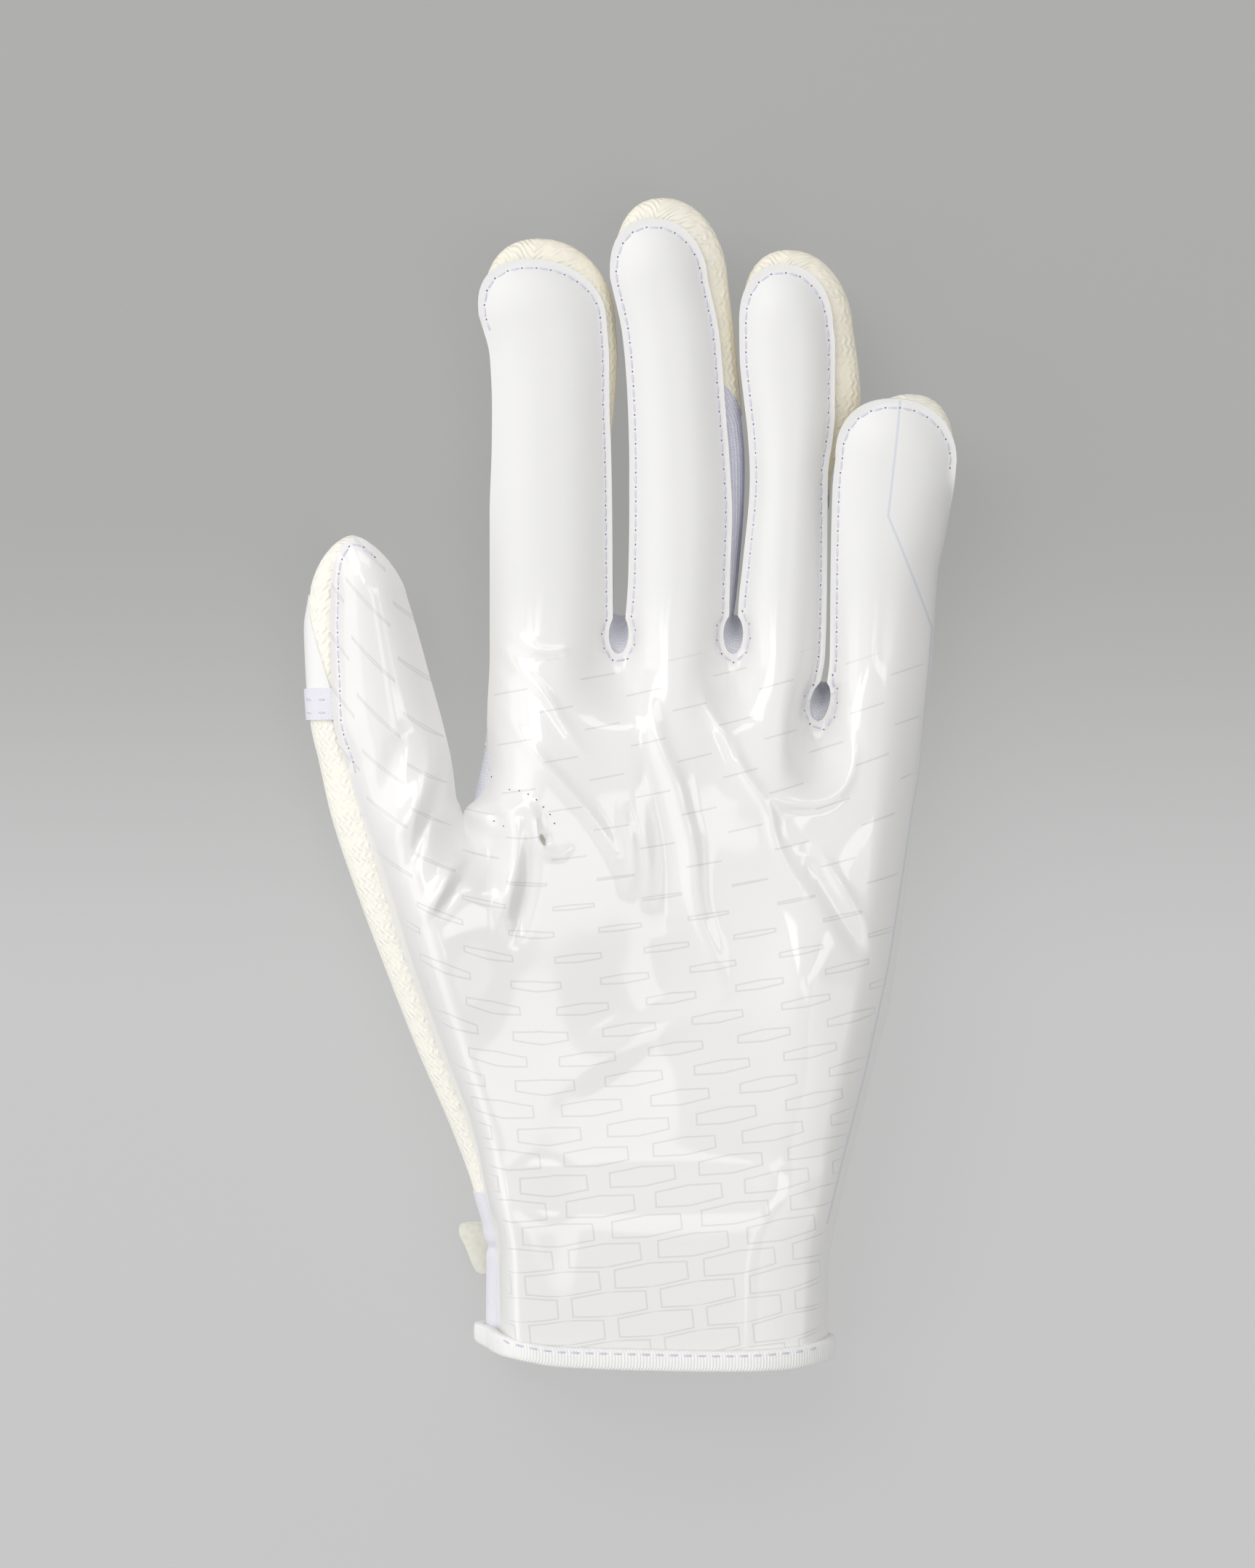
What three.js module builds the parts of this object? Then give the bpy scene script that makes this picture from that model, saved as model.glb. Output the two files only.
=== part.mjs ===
import * as THREE from "three";
import { mergeVertices } from "three/addons/utils/BufferGeometryUtils.js";

// A left-hand sport glove that lies on its back with the palm up, fingers along +Y and thumb
// towards -X. All lengths are millimetres. Heights are above the surface that it rests on.

// Driving dimensions
const palmThickness = 1.2;
const backThickness = 1.4;
const meshThickness = 1.0;
const bindingThickness = 2.4;
const strapThickness = 1.4;
const pieceGap = 0.4;
const seamGap = 0.55;
const wrapGap = 1.1;
const wrapRim = 8;
const seamSeat = 1.6;
const flangeWidth = 2.0;
const panelEnd = -104.5;
const keyholeHalfWidth = 1.9;
const keyholeHalfHeight = 3.8;
const webRound = 3;
const meshTopShare = 0.6;
const lipTop = -86;
const gapRim = 25;
const wristLift = 1.95;
const stripTop = -79;
const stripRim = 30;
const wrapFrom = 50;
const wrapTo = 61;

// Table helper: names the columns of short rows of numbers
function table(names, rows) {
  const keys = names.split(" ");
  return rows.map((row) => Object.fromEntries(keys.map((key, place) => [key, row[place]])));
}

// Sections of each digit: the two edges of the palm panel and the widest reach of the walls.
// Inside the hand the edges are the lines where neighbouring digits' strips meet.
const sectionColumns = "y palmLeft palmRight wallLeft wallRight";
const sections = {
  thumb: table(sectionColumns, [
    [-104.5, -25.1, -14.4, -27.3, -14.4],
    [-90.0, -25.3, -15.6, -27.2, -15.6],
    [-79.0, -27.6, -16.8, -29.8, -16.8],
    [-67.5, -30.4, -18.4, -34.0, -18.4],
    [-52.0, -36.2, -21.0, -40.7, -21.0],
    [-35.4, -42.4, -24.4, -47.2, -24.4],
    [-22.3, -46.5, -27.8, -52.1, -27.8],
    [-6.0, -51.4, -32.6, -57.5, -32.9],
    [4.0, -54.2, -33.9, -59.7, -34.3],
    [12.0, -56.5, -35.7, -61.4, -36.1],
    [20.0, -56.8, -37.9, -61.9, -38.3],
    [30.0, -57.1, -40.6, -62.2, -41.0],
    [36.0, -56.9, -42.4, -61.3, -42.9],
  ]),
  index: table(sectionColumns, [
    [-104.5, -13.4, -1.4, -13.4, -1.4],
    [-50.0, -20.8, -1.8, -20.8, -1.8],
    [-22.0, -26.7, -2.1, -26.7, -2.1],
    [-6.0, -31.0, -2.4, -31.0, -2.4],
    [4.0, -27.4, -2.5, -28.4, -2.9],
    [12.0, -27.3, -2.7, -27.1, -3.2],
    [25.0, -26.7, -2.9, -26.2, -3.2],
    [38.0, -26.7, -3.0, -26.2, -2.5],
    [52.0, -26.7, -3.1, -26.1, -3.2],
    [64.0, -26.3, -3.3, -25.7, -3.4],
    [72.0, -26.2, -3.6, -25.6, -2.7],
    [82.0, -26.6, -3.7, -26.0, -2.0],
    [90.0, -28.7, -4.3, -27.8, -2.5],
  ]),
  middle: table(sectionColumns, [
    [-104.5, 0.4, 12.3, 0.4, 12.3],
    [-50.0, 0.0, 15.9, 0.0, 15.9],
    [-6.0, -0.6, 18.8, -0.6, 18.8],
    [25.0, -0.9, 19.3, -0.3, 19.8],
    [40.0, 0.0, 19.6, 0.6, 21.5],
    [52.0, 0.2, 20.0, 0.9, 22.5],
    [62.0, 0.2, 19.5, 0.9, 22.9],
    [70.6, 0.0, 18.8, 0.7, 22.2],
    [77.0, -0.3, 18.3, 0.4, 21.5],
    [86.0, -1.1, 17.5, -0.4, 20.6],
    [97.0, -3.5, 15.2, -2.7, 19.2],
  ]),
  ring: table(sectionColumns, [
    [-104.5, 14.1, 25.3, 14.1, 25.3],
    [-50.0, 17.7, 31.4, 17.7, 31.4],
    [-6.0, 20.6, 35.0, 20.6, 35.0],
    [12.0, 20.8, 35.6, 20.9, 36.2],
    [25.0, 21.0, 37.9, 21.6, 38.1],
    [34.0, 21.2, 38.2, 22.1, 38.4],
    [42.0, 22.0, 38.3, 22.8, 38.5],
    [59.0, 23.4, 38.4, 24.2, 39.3],
    [67.0, 23.0, 39.4, 23.8, 42.2],
    [74.0, 22.2, 40.0, 22.9, 45.0],
    [82.0, 21.4, 40.0, 22.1, 44.3],
    [88.0, 21.3, 39.3, 22.1, 43.4],
  ]),
  pinky: table(sectionColumns, [
    [-104.5, 27.1, 38.8, 27.1, 38.4],
    [-92.0, 28.5, 38.9, 28.5, 38.5],
    [-80.5, 29.8, 41.2, 29.8, 40.7],
    [-67.5, 31.2, 44.5, 31.2, 44.0],
    [-51.4, 33.1, 48.5, 33.1, 48.0],
    [-42.4, 33.9, 50.8, 33.9, 50.3],
    [-30.3, 34.9, 52.6, 34.9, 52.1],
    [-6.0, 36.8, 55.6, 36.8, 55.1],
    [12.0, 37.3, 57.4, 37.8, 56.9],
    [25.0, 38.8, 58.9, 39.6, 58.4],
    [41.0, 38.9, 59.9, 40.0, 59.4],
    [49.0, 39.0, 61.5, 40.3, 61.0],
    [57.0, 39.2, 62.5, 41.0, 62.1],
    [62.0, 39.7, 62.9, 42.6, 62.6],
  ]),
};

// Each digit: the level where its strip leaves the hand, how far its tip curls up from the
// surface, where that starts, how square its tip is, and the two rounded ends of its palm panel
// and of its back.
const digits = Object.fromEntries(
  table("name crotch webCrotch lift liftFrom tipPower palmTip wallTip", [
    ["thumb", -6, -4, 9, -55, 1.6, [-52.2, 47.3], [-53.0, 47.8]],
    ["index", 25, 31, 7, 12, 2.2, [-18.8, 100.6], [-17.3, 105.1]],
    ["middle", 25, 31, 8, 12, 2.2, [4.6, 108.3], [6.6, 112.8]],
    ["ring", 25, 31, 7, 12, 2.2, [29.6, 99.6], [30.9, 102.9]],
    ["pinky", 12, 18, 9, 2, 2.2, [50.6, 73.6], [54.2, 74.9]],
  ]).map((row) => [row.name, row]),
);
const order = ["thumb", "index", "middle", "ring", "pinky"];

// Gaps between digits: where the panel's strips part, where those of the back part, the keyhole
// cut in the panel, and the stretch along which the knit lip gives way to the mesh wall.
const gaps = table("left right crotch webCrotch keyhole knitEnd meshStart", [
  ["thumb", "index", -6, -4, null, 18, 4],
  ["index", "middle", 25, 31, 28.8, 70, 62],
  ["middle", "ring", 25, 31, 28.8, 78, 70],
  ["ring", "pinky", 12, 18, 15.8, 60, 52],
]);

// Heights along a digit, by distance beyond its crotch: the wall up to the seam, and the crown
// of the palm above the seam
const heights = table("beyond wall crown", [
  [-100, 12.0, 11.0],
  [-60, 12.5, 11.5],
  [-30, 12.5, 11.0],
  [-10, 12.0, 9.0],
  [0, 11.5, 7.5],
  [12, 11.0, 6.0],
  [45, 10.0, 5.0],
  [85, 9.0, 4.0],
]);

// Soft mounds and hollows of the palm: centre, reach along and across the hand, and height
const mounds = table("x y reachX reachY height", [
  [-38, -26, 12, 24, 3.0],
  [36, -42, 12, 28, 2.2],
  [5, -40, 15, 22, -4.5],
  [-15, 8, 9, 9, 1.5],
  [9, 8, 8, 9, 1.5],
  [28, 4, 8, 9, 1.5],
  [47, -4, 8, 10, 1.2],
]);

// Folds of the palm: three points along the crest, half width and height
const folds = table("x1 y1 x2 y2 x3 y3 width height", [
  [-23.9, 30.1, -8.8, 10.5, 4.7, -22.7, 4.5, 1.3],
  [10.8, 5.9, 19.8, -22.7, 30.4, -49.9, 5.0, 1.3],
  [19.1, 19.5, 28.1, -0.1, 45.5, -34.8, 4.5, 1.3],
  [41.7, 10.5, 43.2, 2.9, 28.1, -1.6, 3.5, 1.3],
  [-28.5, -7.6, -34.5, -15.2, -41.5, -22.5, 3.4, 2.3],
  [-23.9, -9.1, -27.0, -19.7, -31.5, -31.0, 3.4, 2.3],
  [-16.4, -13.7, -19.4, -22.7, -23.9, -31.0, 3.6, 1.9],
  [-36.0, 6.0, -41.0, -6.0, -46.0, -16.0, 4.0, 1.6],
  [-8.8, -57.4, 11.0, -52.0, 30.4, -43.9, 7.0, 1.2],
]);

// The hem follows a shallow curve across the wrist: its upper and lower line
const hem = table("x top bottom", [
  [-30, -103.6, -108.2],
  [-21, -106.6, -110.6],
  [-13, -108.0, -112.0],
  [0, -108.8, -112.8],
  [16, -108.8, -112.9],
  [28, -108.2, -112.9],
  [40, -106.6, -111.8],
]);

// Levels of the sections from wrist to fingers, shared by the strips that are joined there
const palmLevels = [
  -104.5, -96, -87, -78.5, -70, -61, -53, -46, -39, -33, -27, -21.5, -16.5, -11.5, -6,
  -1.5, 3, 7.5, 12, 13.2, 15.2, 17.4, 19.6, 22.3, 25,
];
const backLevels = [-104.5, -92, -79.6, -78.4, -66, -52, -36, -20, -4, 4, 7.5, 11, 14.5, 18, 25, 31];

const clamp = THREE.MathUtils.clamp;
const mix = THREE.MathUtils.lerp;
const smooth = THREE.MathUtils.smoothstep;
const radians = THREE.MathUtils.degToRad;

// Reads a table at any level, by a monotone curve through its rows
function read(rows, key, at, name) {
  const last = rows.length - 1;
  if (at <= rows[0][key]) return rows[0][name];
  if (at >= rows[last][key]) return rows[last][name];
  let place = 0;
  while (rows[place + 1][key] < at) place += 1;
  const slope = (row) => (rows[row + 1][name] - rows[row][name]) / (rows[row + 1][key] - rows[row][key]);
  const tangent = (row) => {
    if (row === 0) return slope(0);
    if (row === last) return slope(last - 1);
    const before = slope(row - 1);
    const after = slope(row);
    if (before * after <= 0) return 0;
    return (2 * before * after) / (before + after);
  };
  const span = rows[place + 1][key] - rows[place][key];
  const t = (at - rows[place][key]) / span;
  const start = rows[place][name];
  const end = rows[place + 1][name];
  const rise = t * t * (3 - 2 * t);
  const leave = t * (1 - t) * (1 - t) * span * tangent(place);
  const arrive = t * t * (t - 1) * span * tangent(place + 1);
  return mix(start, end, rise) + leave + arrive;
}

const section = (name, y, column) => read(sections[name], "y", y, column);
const capStart = (name) => sections[name][sections[name].length - 1].y;
const gapBeside = (name, side) => gaps.find((gap) => (side > 0 ? gap.left : gap.right) === name);

function baseHeight(name, y) {
  const digit = digits[name];
  const along = clamp((y - digit.liftFrom) / (digit.wallTip[1] - digit.liftFrom), 0, 1);
  return digit.lift * Math.pow(along, 1.7) + wristLift * smooth(-y, 70, 84);
}

function seamHeight(name, y) {
  return baseHeight(name, y) + read(heights, "beyond", y - digits[name].crotch, "wall");
}

function crownHeight(name, y) {
  return seamHeight(name, y) + read(heights, "beyond", y - digits[name].crotch, "crown");
}

const waistShare = 0.6;
function waistHeight(name, y) {
  const base = baseHeight(name, y);
  return mix(base, seamHeight(name, y), waistShare);
}

// Shift of a section near the hem, so that the panels end along its curve
function hemShift(x, y) {
  return (read(hem, "x", x, "top") - panelEnd + pieceGap) * smooth(-y, 78, -panelEnd);
}

// Half width of the opening in the palm panel between two digits
function keyholeHalf(gap, y) {
  if (gap.keyhole === null) return 0;
  const off = (y - gap.keyhole) / keyholeHalfHeight;
  return keyholeHalfWidth * Math.sqrt(Math.max(0, 1 - off * off));
}

// Edge of the palm panel of one digit, on one side
function palmEdge(name, side, y) {
  const edge = section(name, y, side < 0 ? "palmLeft" : "palmRight");
  const gap = gapBeside(name, side);
  if (!gap || y < gap.crotch) return edge;
  const other = section(side > 0 ? gap.right : gap.left, y, side > 0 ? "palmLeft" : "palmRight");
  const centre = (edge + other) / 2;
  const parted = gap.keyhole === null ? 1 : smooth(y, gap.crotch, gap.keyhole);
  const half = Math.max((parted * Math.abs(other - edge)) / 2, keyholeHalf(gap, y));
  return centre - side * half;
}

// Width of a digit's rounded end, as a share, at the share b of that end's length
function tipWidth(name, b) {
  const power = digits[name].tipPower;
  return Math.pow(1 - Math.pow(b, power), 1 / power);
}

// A point of an outline: level y below the rounded end, else the share b of that end's length
function outlinePoint(name, side, place, kind) {
  const capAt = capStart(name);
  const tip = kind === "wall" ? digits[name].wallTip : digits[name].palmTip;
  const edgeAt = (way, y) => {
    if (kind === "wall") return section(name, y, way < 0 ? "wallLeft" : "wallRight");
    return palmEdge(name, way, y);
  };
  const inset = kind === "seat" ? seamSeat : 0;
  if (place.b === 0) return [edgeAt(side, place.y) - side * inset, place.y];
  const left = edgeAt(-1, capAt) + inset;
  const right = edgeAt(1, capAt) - inset;
  const width = tipWidth(name, place.b);
  const centre = mix((left + right) / 2, tip[0], Math.pow(place.b, 1.3));
  const length = tip[1] - inset - capAt;
  return [centre + (side * (right - left) * width) / 2, capAt + length * place.b];
}

// How far a digit's own section, rather than the flat of the hand, holds at one level
function ownShare(name, side, y, key) {
  const gap = gapBeside(name, side);
  if (!gap) return 1;
  return smooth(y, gap[key] - 16, gap[key]);
}

function relief(x, y) {
  let sum = 0;
  for (const mound of mounds) {
    const dx = (x - mound.x) / mound.reachX;
    const dy = (y - mound.y) / mound.reachY;
    sum += mound.height * Math.exp(-dx * dx - dy * dy);
  }
  for (const fold of folds) sum += foldHeight(fold, x, y);
  return sum;
}

// A fold is a rounded ridge along a bent line, which fades out at both ends
function foldHeight(fold, x, y) {
  const steps = 12;
  let best = Infinity;
  let along = 0;
  for (let step = 0; step <= steps; step += 1) {
    const t = step / steps;
    const px = (1 - t) * (1 - t) * fold.x1 + 2 * t * (1 - t) * fold.x2 + t * t * fold.x3;
    const py = (1 - t) * (1 - t) * fold.y1 + 2 * t * (1 - t) * fold.y2 + t * t * fold.y3;
    const distance = Math.hypot(x - px, y - py);
    if (distance < best) {
      best = distance;
      along = t;
    }
  }
  const across = best / fold.width;
  const fade = Math.sqrt(Math.sin(Math.PI * clamp(along, 0.06, 0.94)));
  return fold.height * Math.exp(-across * across * 1.6) * fade;
}

// The palm panel: flat at its cut edges, then a rounded rise to the crown
function palmPoint(name, q, place) {
  const left = outlinePoint(name, -1, place, "palm");
  const right = outlinePoint(name, 1, place, "palm");
  const x = mix(left[0], right[0], (q + 1) / 2);
  const y = left[1];
  const side = q < 0 ? -1 : 1;
  const capWidth = place.b === 0 ? 1 : tipWidth(name, place.b);
  const reach = Math.sqrt(place.b * place.b + q * q * capWidth * capWidth);
  const half = (section(name, y, "palmRight") - section(name, y, "palmLeft")) / 2;
  const wrap = wrapShare(name, side, place);
  const flange = flangeWidth * (1 - wrap);
  const inward = clamp((half * (1 - reach) - flange) / (half * 0.95 - flange), 0, 1);
  const rise = Math.sqrt(1 - (1 - inward) * (1 - inward));
  const share = place.b === 0 ? ownShare(name, side, y, "crotch") : 1;
  const swell = 1 - share * (1 - rise);
  const rim = wrap > 0 ? wallPoint(name, side, place, rimAngle(name, side, place))[2] : seamHeight(name, y);
  const edge = rim + mix(seamGap + palmThickness, wrapGap, wrap);
  const top = crownHeight(name, y) + relief(x, y) * smooth(-y, -45, -30);
  return [x, y + hemShift(x, y), mix(edge, top, swell)];
}

// Share by which the palm panel wraps down over the outer edge of the hand
function wrapShare(name, side, place) {
  if (name !== "pinky" || side < 0 || place.b > 0) return 0;
  return 1 - smooth(place.y, wrapFrom, wrapTo);
}

// Angle where the knit back ends on one side: over the edge as a lip, or below the mesh wall
function rimAngle(name, side, place) {
  if (place.b > 0) return lipTop;
  if (name === "thumb" && side < 0) return place.y < stripTop ? stripRim : lipTop;
  if (name === "pinky" && side > 0) return mix(lipTop, wrapRim, wrapShare(name, side, place));
  const gap = gapBeside(name, side);
  if (!gap) return lipTop;
  return mix(gapRim, lipTop, clamp((place.y - gap.meshStart) / (gap.knitEnd - gap.meshStart), 0, 1));
}

// A point of the wall round a digit: 90 degrees is the underside, 0 the widest line, and below
// zero the wall turns in above that line, to its seat under the palm panel
function wallPoint(name, side, place, angle) {
  const reach = outlinePoint(name, side, place, "wall");
  const y = reach[1];
  const waist = waistHeight(name, y);
  const turn = radians(angle);
  if (angle < 0) {
    const seat = outlinePoint(name, side, place, "seat");
    const share = Math.cos(turn);
    const top = seamHeight(name, seat[1]);
    return [mix(seat[0], reach[0], share), mix(seat[1], y, share), mix(waist, top, Math.sin(-turn))];
  }
  const other = outlinePoint(name, -side, place, "wall");
  const centre = (reach[0] + other[0]) / 2;
  const width = place.b === 0 ? 1 : Math.sqrt(1 - place.b * place.b);
  const base = baseHeight(name, y);
  return [mix(centre, reach[0], Math.cos(turn)), y, waist - (waist - base) * width * Math.sin(turn)];
}

function backPoint(name, q, place) {
  const side = q < 0 ? -1 : 1;
  const angle = mix(90, rimAngle(name, side, place), Math.abs(q));
  const point = wallPoint(name, side, place, angle);
  if (place.b === 0 && gapBeside(name, side)) {
    const share = ownShare(name, side, place.y, "webCrotch");
    const left = section(name, place.y, "wallLeft");
    const right = section(name, place.y, "wallRight");
    point[0] = mix(mix(left, right, (q + 1) / 2), point[0], share);
    point[2] = mix(baseHeight(name, place.y), point[2], share * share);
  }
  point[1] += hemShift(point[0], point[1]);
  return point;
}

// Places along one digit's strip: the shared levels, its own ones, and its rounded end
function placesOf(name, levels, crotch, ownLevels, capSteps) {
  const places = levels.filter((y) => y <= crotch + 0.01).map((y) => ({ y, b: 0 }));
  for (const y of ownLevels) {
    if (y > crotch + 0.01 && y < capStart(name) - 1) places.push({ y, b: 0 });
  }
  places.push({ y: capStart(name), b: 0 });
  for (let step = 1; step <= capSteps; step += 1) {
    places.push({ y: capStart(name), b: Math.sin((Math.PI / 2) * (step / capSteps)) });
  }
  return places;
}

// An open sheet: corner points and triangles, gathered patch by patch
class Sheet {
  constructor() {
    this.points = [];
    this.faces = [];
  }

  patch(rows, turned) {
    const first = this.points.length;
    const wide = rows[0].length;
    for (const row of rows) this.points.push(...row);
    for (let i = 0; i + 1 < rows.length; i += 1) {
      for (let j = 0; j + 1 < wide; j += 1) {
        const a = first + i * wide + j;
        const quad = [a, a + 1, a + wide + 1, a + wide];
        if (turned) quad.reverse();
        this.faces.push([quad[0], quad[1], quad[2]], [quad[0], quad[2], quad[3]]);
      }
    }
  }

  // Joins equal corners and closes the sheet into a wall of one thickness, laid on its inner side
  thicken(thickness) {
    const flat = new THREE.BufferGeometry();
    flat.setAttribute("position", new THREE.Float32BufferAttribute(this.points.flat(), 3));
    flat.setIndex(this.faces.flat());
    const merged = mergeVertices(flat, 1e-3);
    const index = Array.from(merged.index.array);
    const kept = [];
    for (let i = 0; i < index.length; i += 3) {
      const [a, b, c] = index.slice(i, i + 3);
      if (a !== b && b !== c && a !== c) kept.push(a, b, c);
    }
    merged.setIndex(kept);
    merged.computeVertexNormals();
    const position = merged.attributes.position;
    const normal = merged.attributes.normal;
    const count = position.count;
    const corners = Array.from(position.array);
    for (let i = 0; i < count; i += 1) {
      corners.push(position.getX(i) - normal.getX(i) * thickness);
      corners.push(position.getY(i) - normal.getY(i) * thickness);
      corners.push(position.getZ(i) - normal.getZ(i) * thickness);
    }
    const faces = [...kept];
    const open = new Map();
    for (let i = 0; i < kept.length; i += 3) {
      const tri = [kept[i], kept[i + 1], kept[i + 2]];
      faces.push(tri[0] + count, tri[2] + count, tri[1] + count);
      for (let k = 0; k < 3; k += 1) {
        const from = tri[k];
        const to = tri[(k + 1) % 3];
        const back = `${to} ${from}`;
        if (open.has(back)) open.delete(back);
        else open.set(`${from} ${to}`, [from, to]);
      }
    }
    for (const [from, to] of open.values()) {
      faces.push(to, from, from + count);
      faces.push(to, from + count, to + count);
    }
    const solid = new THREE.BufferGeometry();
    solid.setAttribute("position", new THREE.Float32BufferAttribute(corners, 3));
    solid.setIndex(faces);
    return solid;
  }
}

const group = new THREE.Group();

function addPiece(name, geometry, color, roughness) {
  geometry.computeVertexNormals();
  const material = new THREE.MeshStandardMaterial({ color, roughness, metalness: 0 });
  const mesh = new THREE.Mesh(geometry, material);
  mesh.name = name;
  group.add(mesh);
}

// The strips of five digits side by side, joined across the gaps below each crotch
function handSheet(pointOf, across, levels, ownLevels, capSteps, key, turned) {
  const sheet = new Sheet();
  for (const name of order) {
    const places = placesOf(name, levels, digits[name][key], ownLevels(name), capSteps);
    sheet.patch(places.map((place) => across.map((q) => pointOf(name, q, place))), turned);
  }
  for (const gap of gaps) {
    const places = levels.filter((y) => y <= gap[key] + 0.01).map((y) => ({ y, b: 0 }));
    const rows = places.map((place) => [pointOf(gap.left, 1, place), pointOf(gap.right, -1, place)]);
    sheet.patch(rows, turned);
  }
  return sheet;
}

// Levels of a keyhole's outline, as shares of its half height: closer at its round lower end
const keyholeShares = [-0.92, -0.7, -0.35, 0.1, 0.6, 1];

function keyholeLevels(name) {
  const levels = [];
  for (const side of [-1, 1]) {
    const gap = gapBeside(name, side);
    if (gap && gap.keyhole !== null) {
      for (const share of keyholeShares) levels.push(gap.keyhole + share * keyholeHalfHeight);
    }
  }
  return levels;
}

const changeShares = [0, 0.25, 0.5, 0.75, 1];
const wrapLevels = [0, 0.3, 0.6, 0.95].map((share) => mix(wrapFrom, wrapTo, share));

const evenLevels = (from, to, step) => {
  const levels = [];
  for (let y = from; y < to; y += step) levels.push(y);
  return levels;
};

function palmOwnLevels(name) {
  const start = digits[name].crotch + (name === "thumb" ? 5 : 12);
  const all = [...keyholeLevels(name), ...evenLevels(start, capStart(name) - 12, 9)];
  if (name === "pinky") all.push(...wrapLevels);
  const sorted = [...new Set(all.map((y) => Math.round(y * 10) / 10))].sort((a, b) => a - b);
  return sorted.filter((y, place) => place === 0 || y - sorted[place - 1] > 0.45);
}

function makePalm() {
  const across = [-1, -0.82, -0.45, 0, 0.45, 0.82, 1];
  const sheet = handSheet(palmPoint, across, palmLevels, palmOwnLevels, 5, "crotch", false);
  addPiece("palm", sheet.thicken(palmThickness), 0xeeeeec, 0.25);
}

// Levels of the back between crotch and tip: closer where the knit lip gives way to mesh
function backOwnLevels(name) {
  const all = evenLevels(digits[name].webCrotch + 12, capStart(name) - 5, 14);
  if (name === "pinky") all.push(...wrapLevels);
  for (const side of [-1, 1]) {
    const gap = gapBeside(name, side);
    if (gap) all.push(...changeShares.map((share) => mix(gap.meshStart, gap.knitEnd, share)));
  }
  const sorted = all.sort((a, b) => a - b);
  return sorted.filter((y, place) => place === 0 || y - sorted[place - 1] > 0.9);
}

function makeBack() {
  const across = [-1, -0.75, -0.5, -0.25, 0, 0.25, 0.5, 0.75, 1];
  const sheet = handSheet(backPoint, across, backLevels, backOwnLevels, 4, "webCrotch", true);
  addPiece("back", sheet.thicken(backThickness), 0xf2f0e4, 0.9);
}

// Mesh side wall in a gap: down one digit, round the crotch and up the next
function makeSideWall(name, gap) {
  const lowest = gap.webCrotch + pieceGap * 2 + meshThickness;
  const levelTop = mix(gap.meshStart, gap.knitEnd, meshTopShare);
  const levels = [0, 0.25, 0.45, meshTopShare].map((share) => mix(gap.meshStart, gap.knitEnd, share));
  const steps = 7;
  for (let step = 1; step < steps; step += 1) {
    levels.push(mix(lowest, gap.meshStart, Math.pow(step / steps, 1.8)));
  }
  const shares = levels.map((y) => (y - lowest) / (levelTop - lowest)).sort((a, b) => b - a);
  const walk = [...shares.map((share) => [1, share]), [1, 0], ...shares.reverse().map((share) => [-1, share])];
  const rows = walk.map(([side, share]) => {
    const digit = side > 0 ? gap.left : gap.right;
    return [0, 0.5, 1].map((up) => {
      const bottom = mix(lowest, gap.crotch - seamSeat, up);
      const y = mix(bottom, levelTop, share);
      const held = { y: Math.max(y, gap.webCrotch), b: 0 };
      const rim = rimAngle(digit, side, held);
      const above = rim - mix(20, 14, clamp(rim / gapRim, 0, 1));
      const point = wallPoint(digit, side, held, mix(above, lipTop + 2, up));
      const centre = (section(gap.left, held.y, "wallRight") + section(gap.right, held.y, "wallLeft")) / 2;
      const apart = Math.max(Math.abs(point[0] - centre), up * (keyholeHalf(gap, y) + seamSeat));
      const fall = clamp((bottom + webRound - y) / webRound, 0, 1);
      return [centre - side * apart * Math.sqrt(1 - fall * fall), y, point[2]];
    });
  });
  const sheet = new Sheet();
  sheet.patch(rows, false);
  addPiece(name, sheet.thicken(meshThickness), 0xc9c9dc, 0.9);
}

// A cover laid on the outer side of a wall: rows of levels, from one angle to another, which
// may change from the first row to the last
function wallCover(name, levels, fromAngle, toAngle, lay, columns, lastAngle = toAngle) {
  const first = levels[0];
  const last = levels[levels.length - 1];
  const rows = levels.map((y) => {
    const row = [];
    const upper = mix(toAngle, lastAngle, (y - first) / (last - first));
    for (let column = 0; column <= columns; column += 1) {
      const angle = mix(fromAngle, upper, column / columns);
      const point = wallPoint(name, -1, { y, b: 0 }, angle);
      const turn = radians(angle);
      point[0] -= lay * Math.cos(turn);
      point[2] -= lay * Math.sin(turn);
      point[1] += hemShift(point[0], point[1]);
      row.push(point);
    }
    return row;
  });
  const sheet = new Sheet();
  sheet.patch(rows, false);
  return sheet;
}

function makeThumbPatch() {
  const sheet = wallCover("thumb", [18.6, 23, 28, 33, 35.9], 55, -44, meshThickness + pieceGap, 5, 8);
  addPiece("thumb_patch", sheet.thicken(meshThickness), 0xf3f2f0, 0.5);
}

function makeThumbTape() {
  const sheet = wallCover("thumb", [12.6, 15.4, 18.1], 70, -66, meshThickness + pieceGap, 6);
  addPiece("thumb_tape", sheet.thicken(meshThickness), 0xf0eff2, 0.7);
}

function makeWristStrip() {
  const sheet = wallCover("thumb", [-104.5, -98, -91, -85, -79.8], 21, lipTop, 0, 5);
  addPiece("wrist_strip", sheet.thicken(meshThickness), 0xe9e8f2, 0.7);
}

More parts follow.
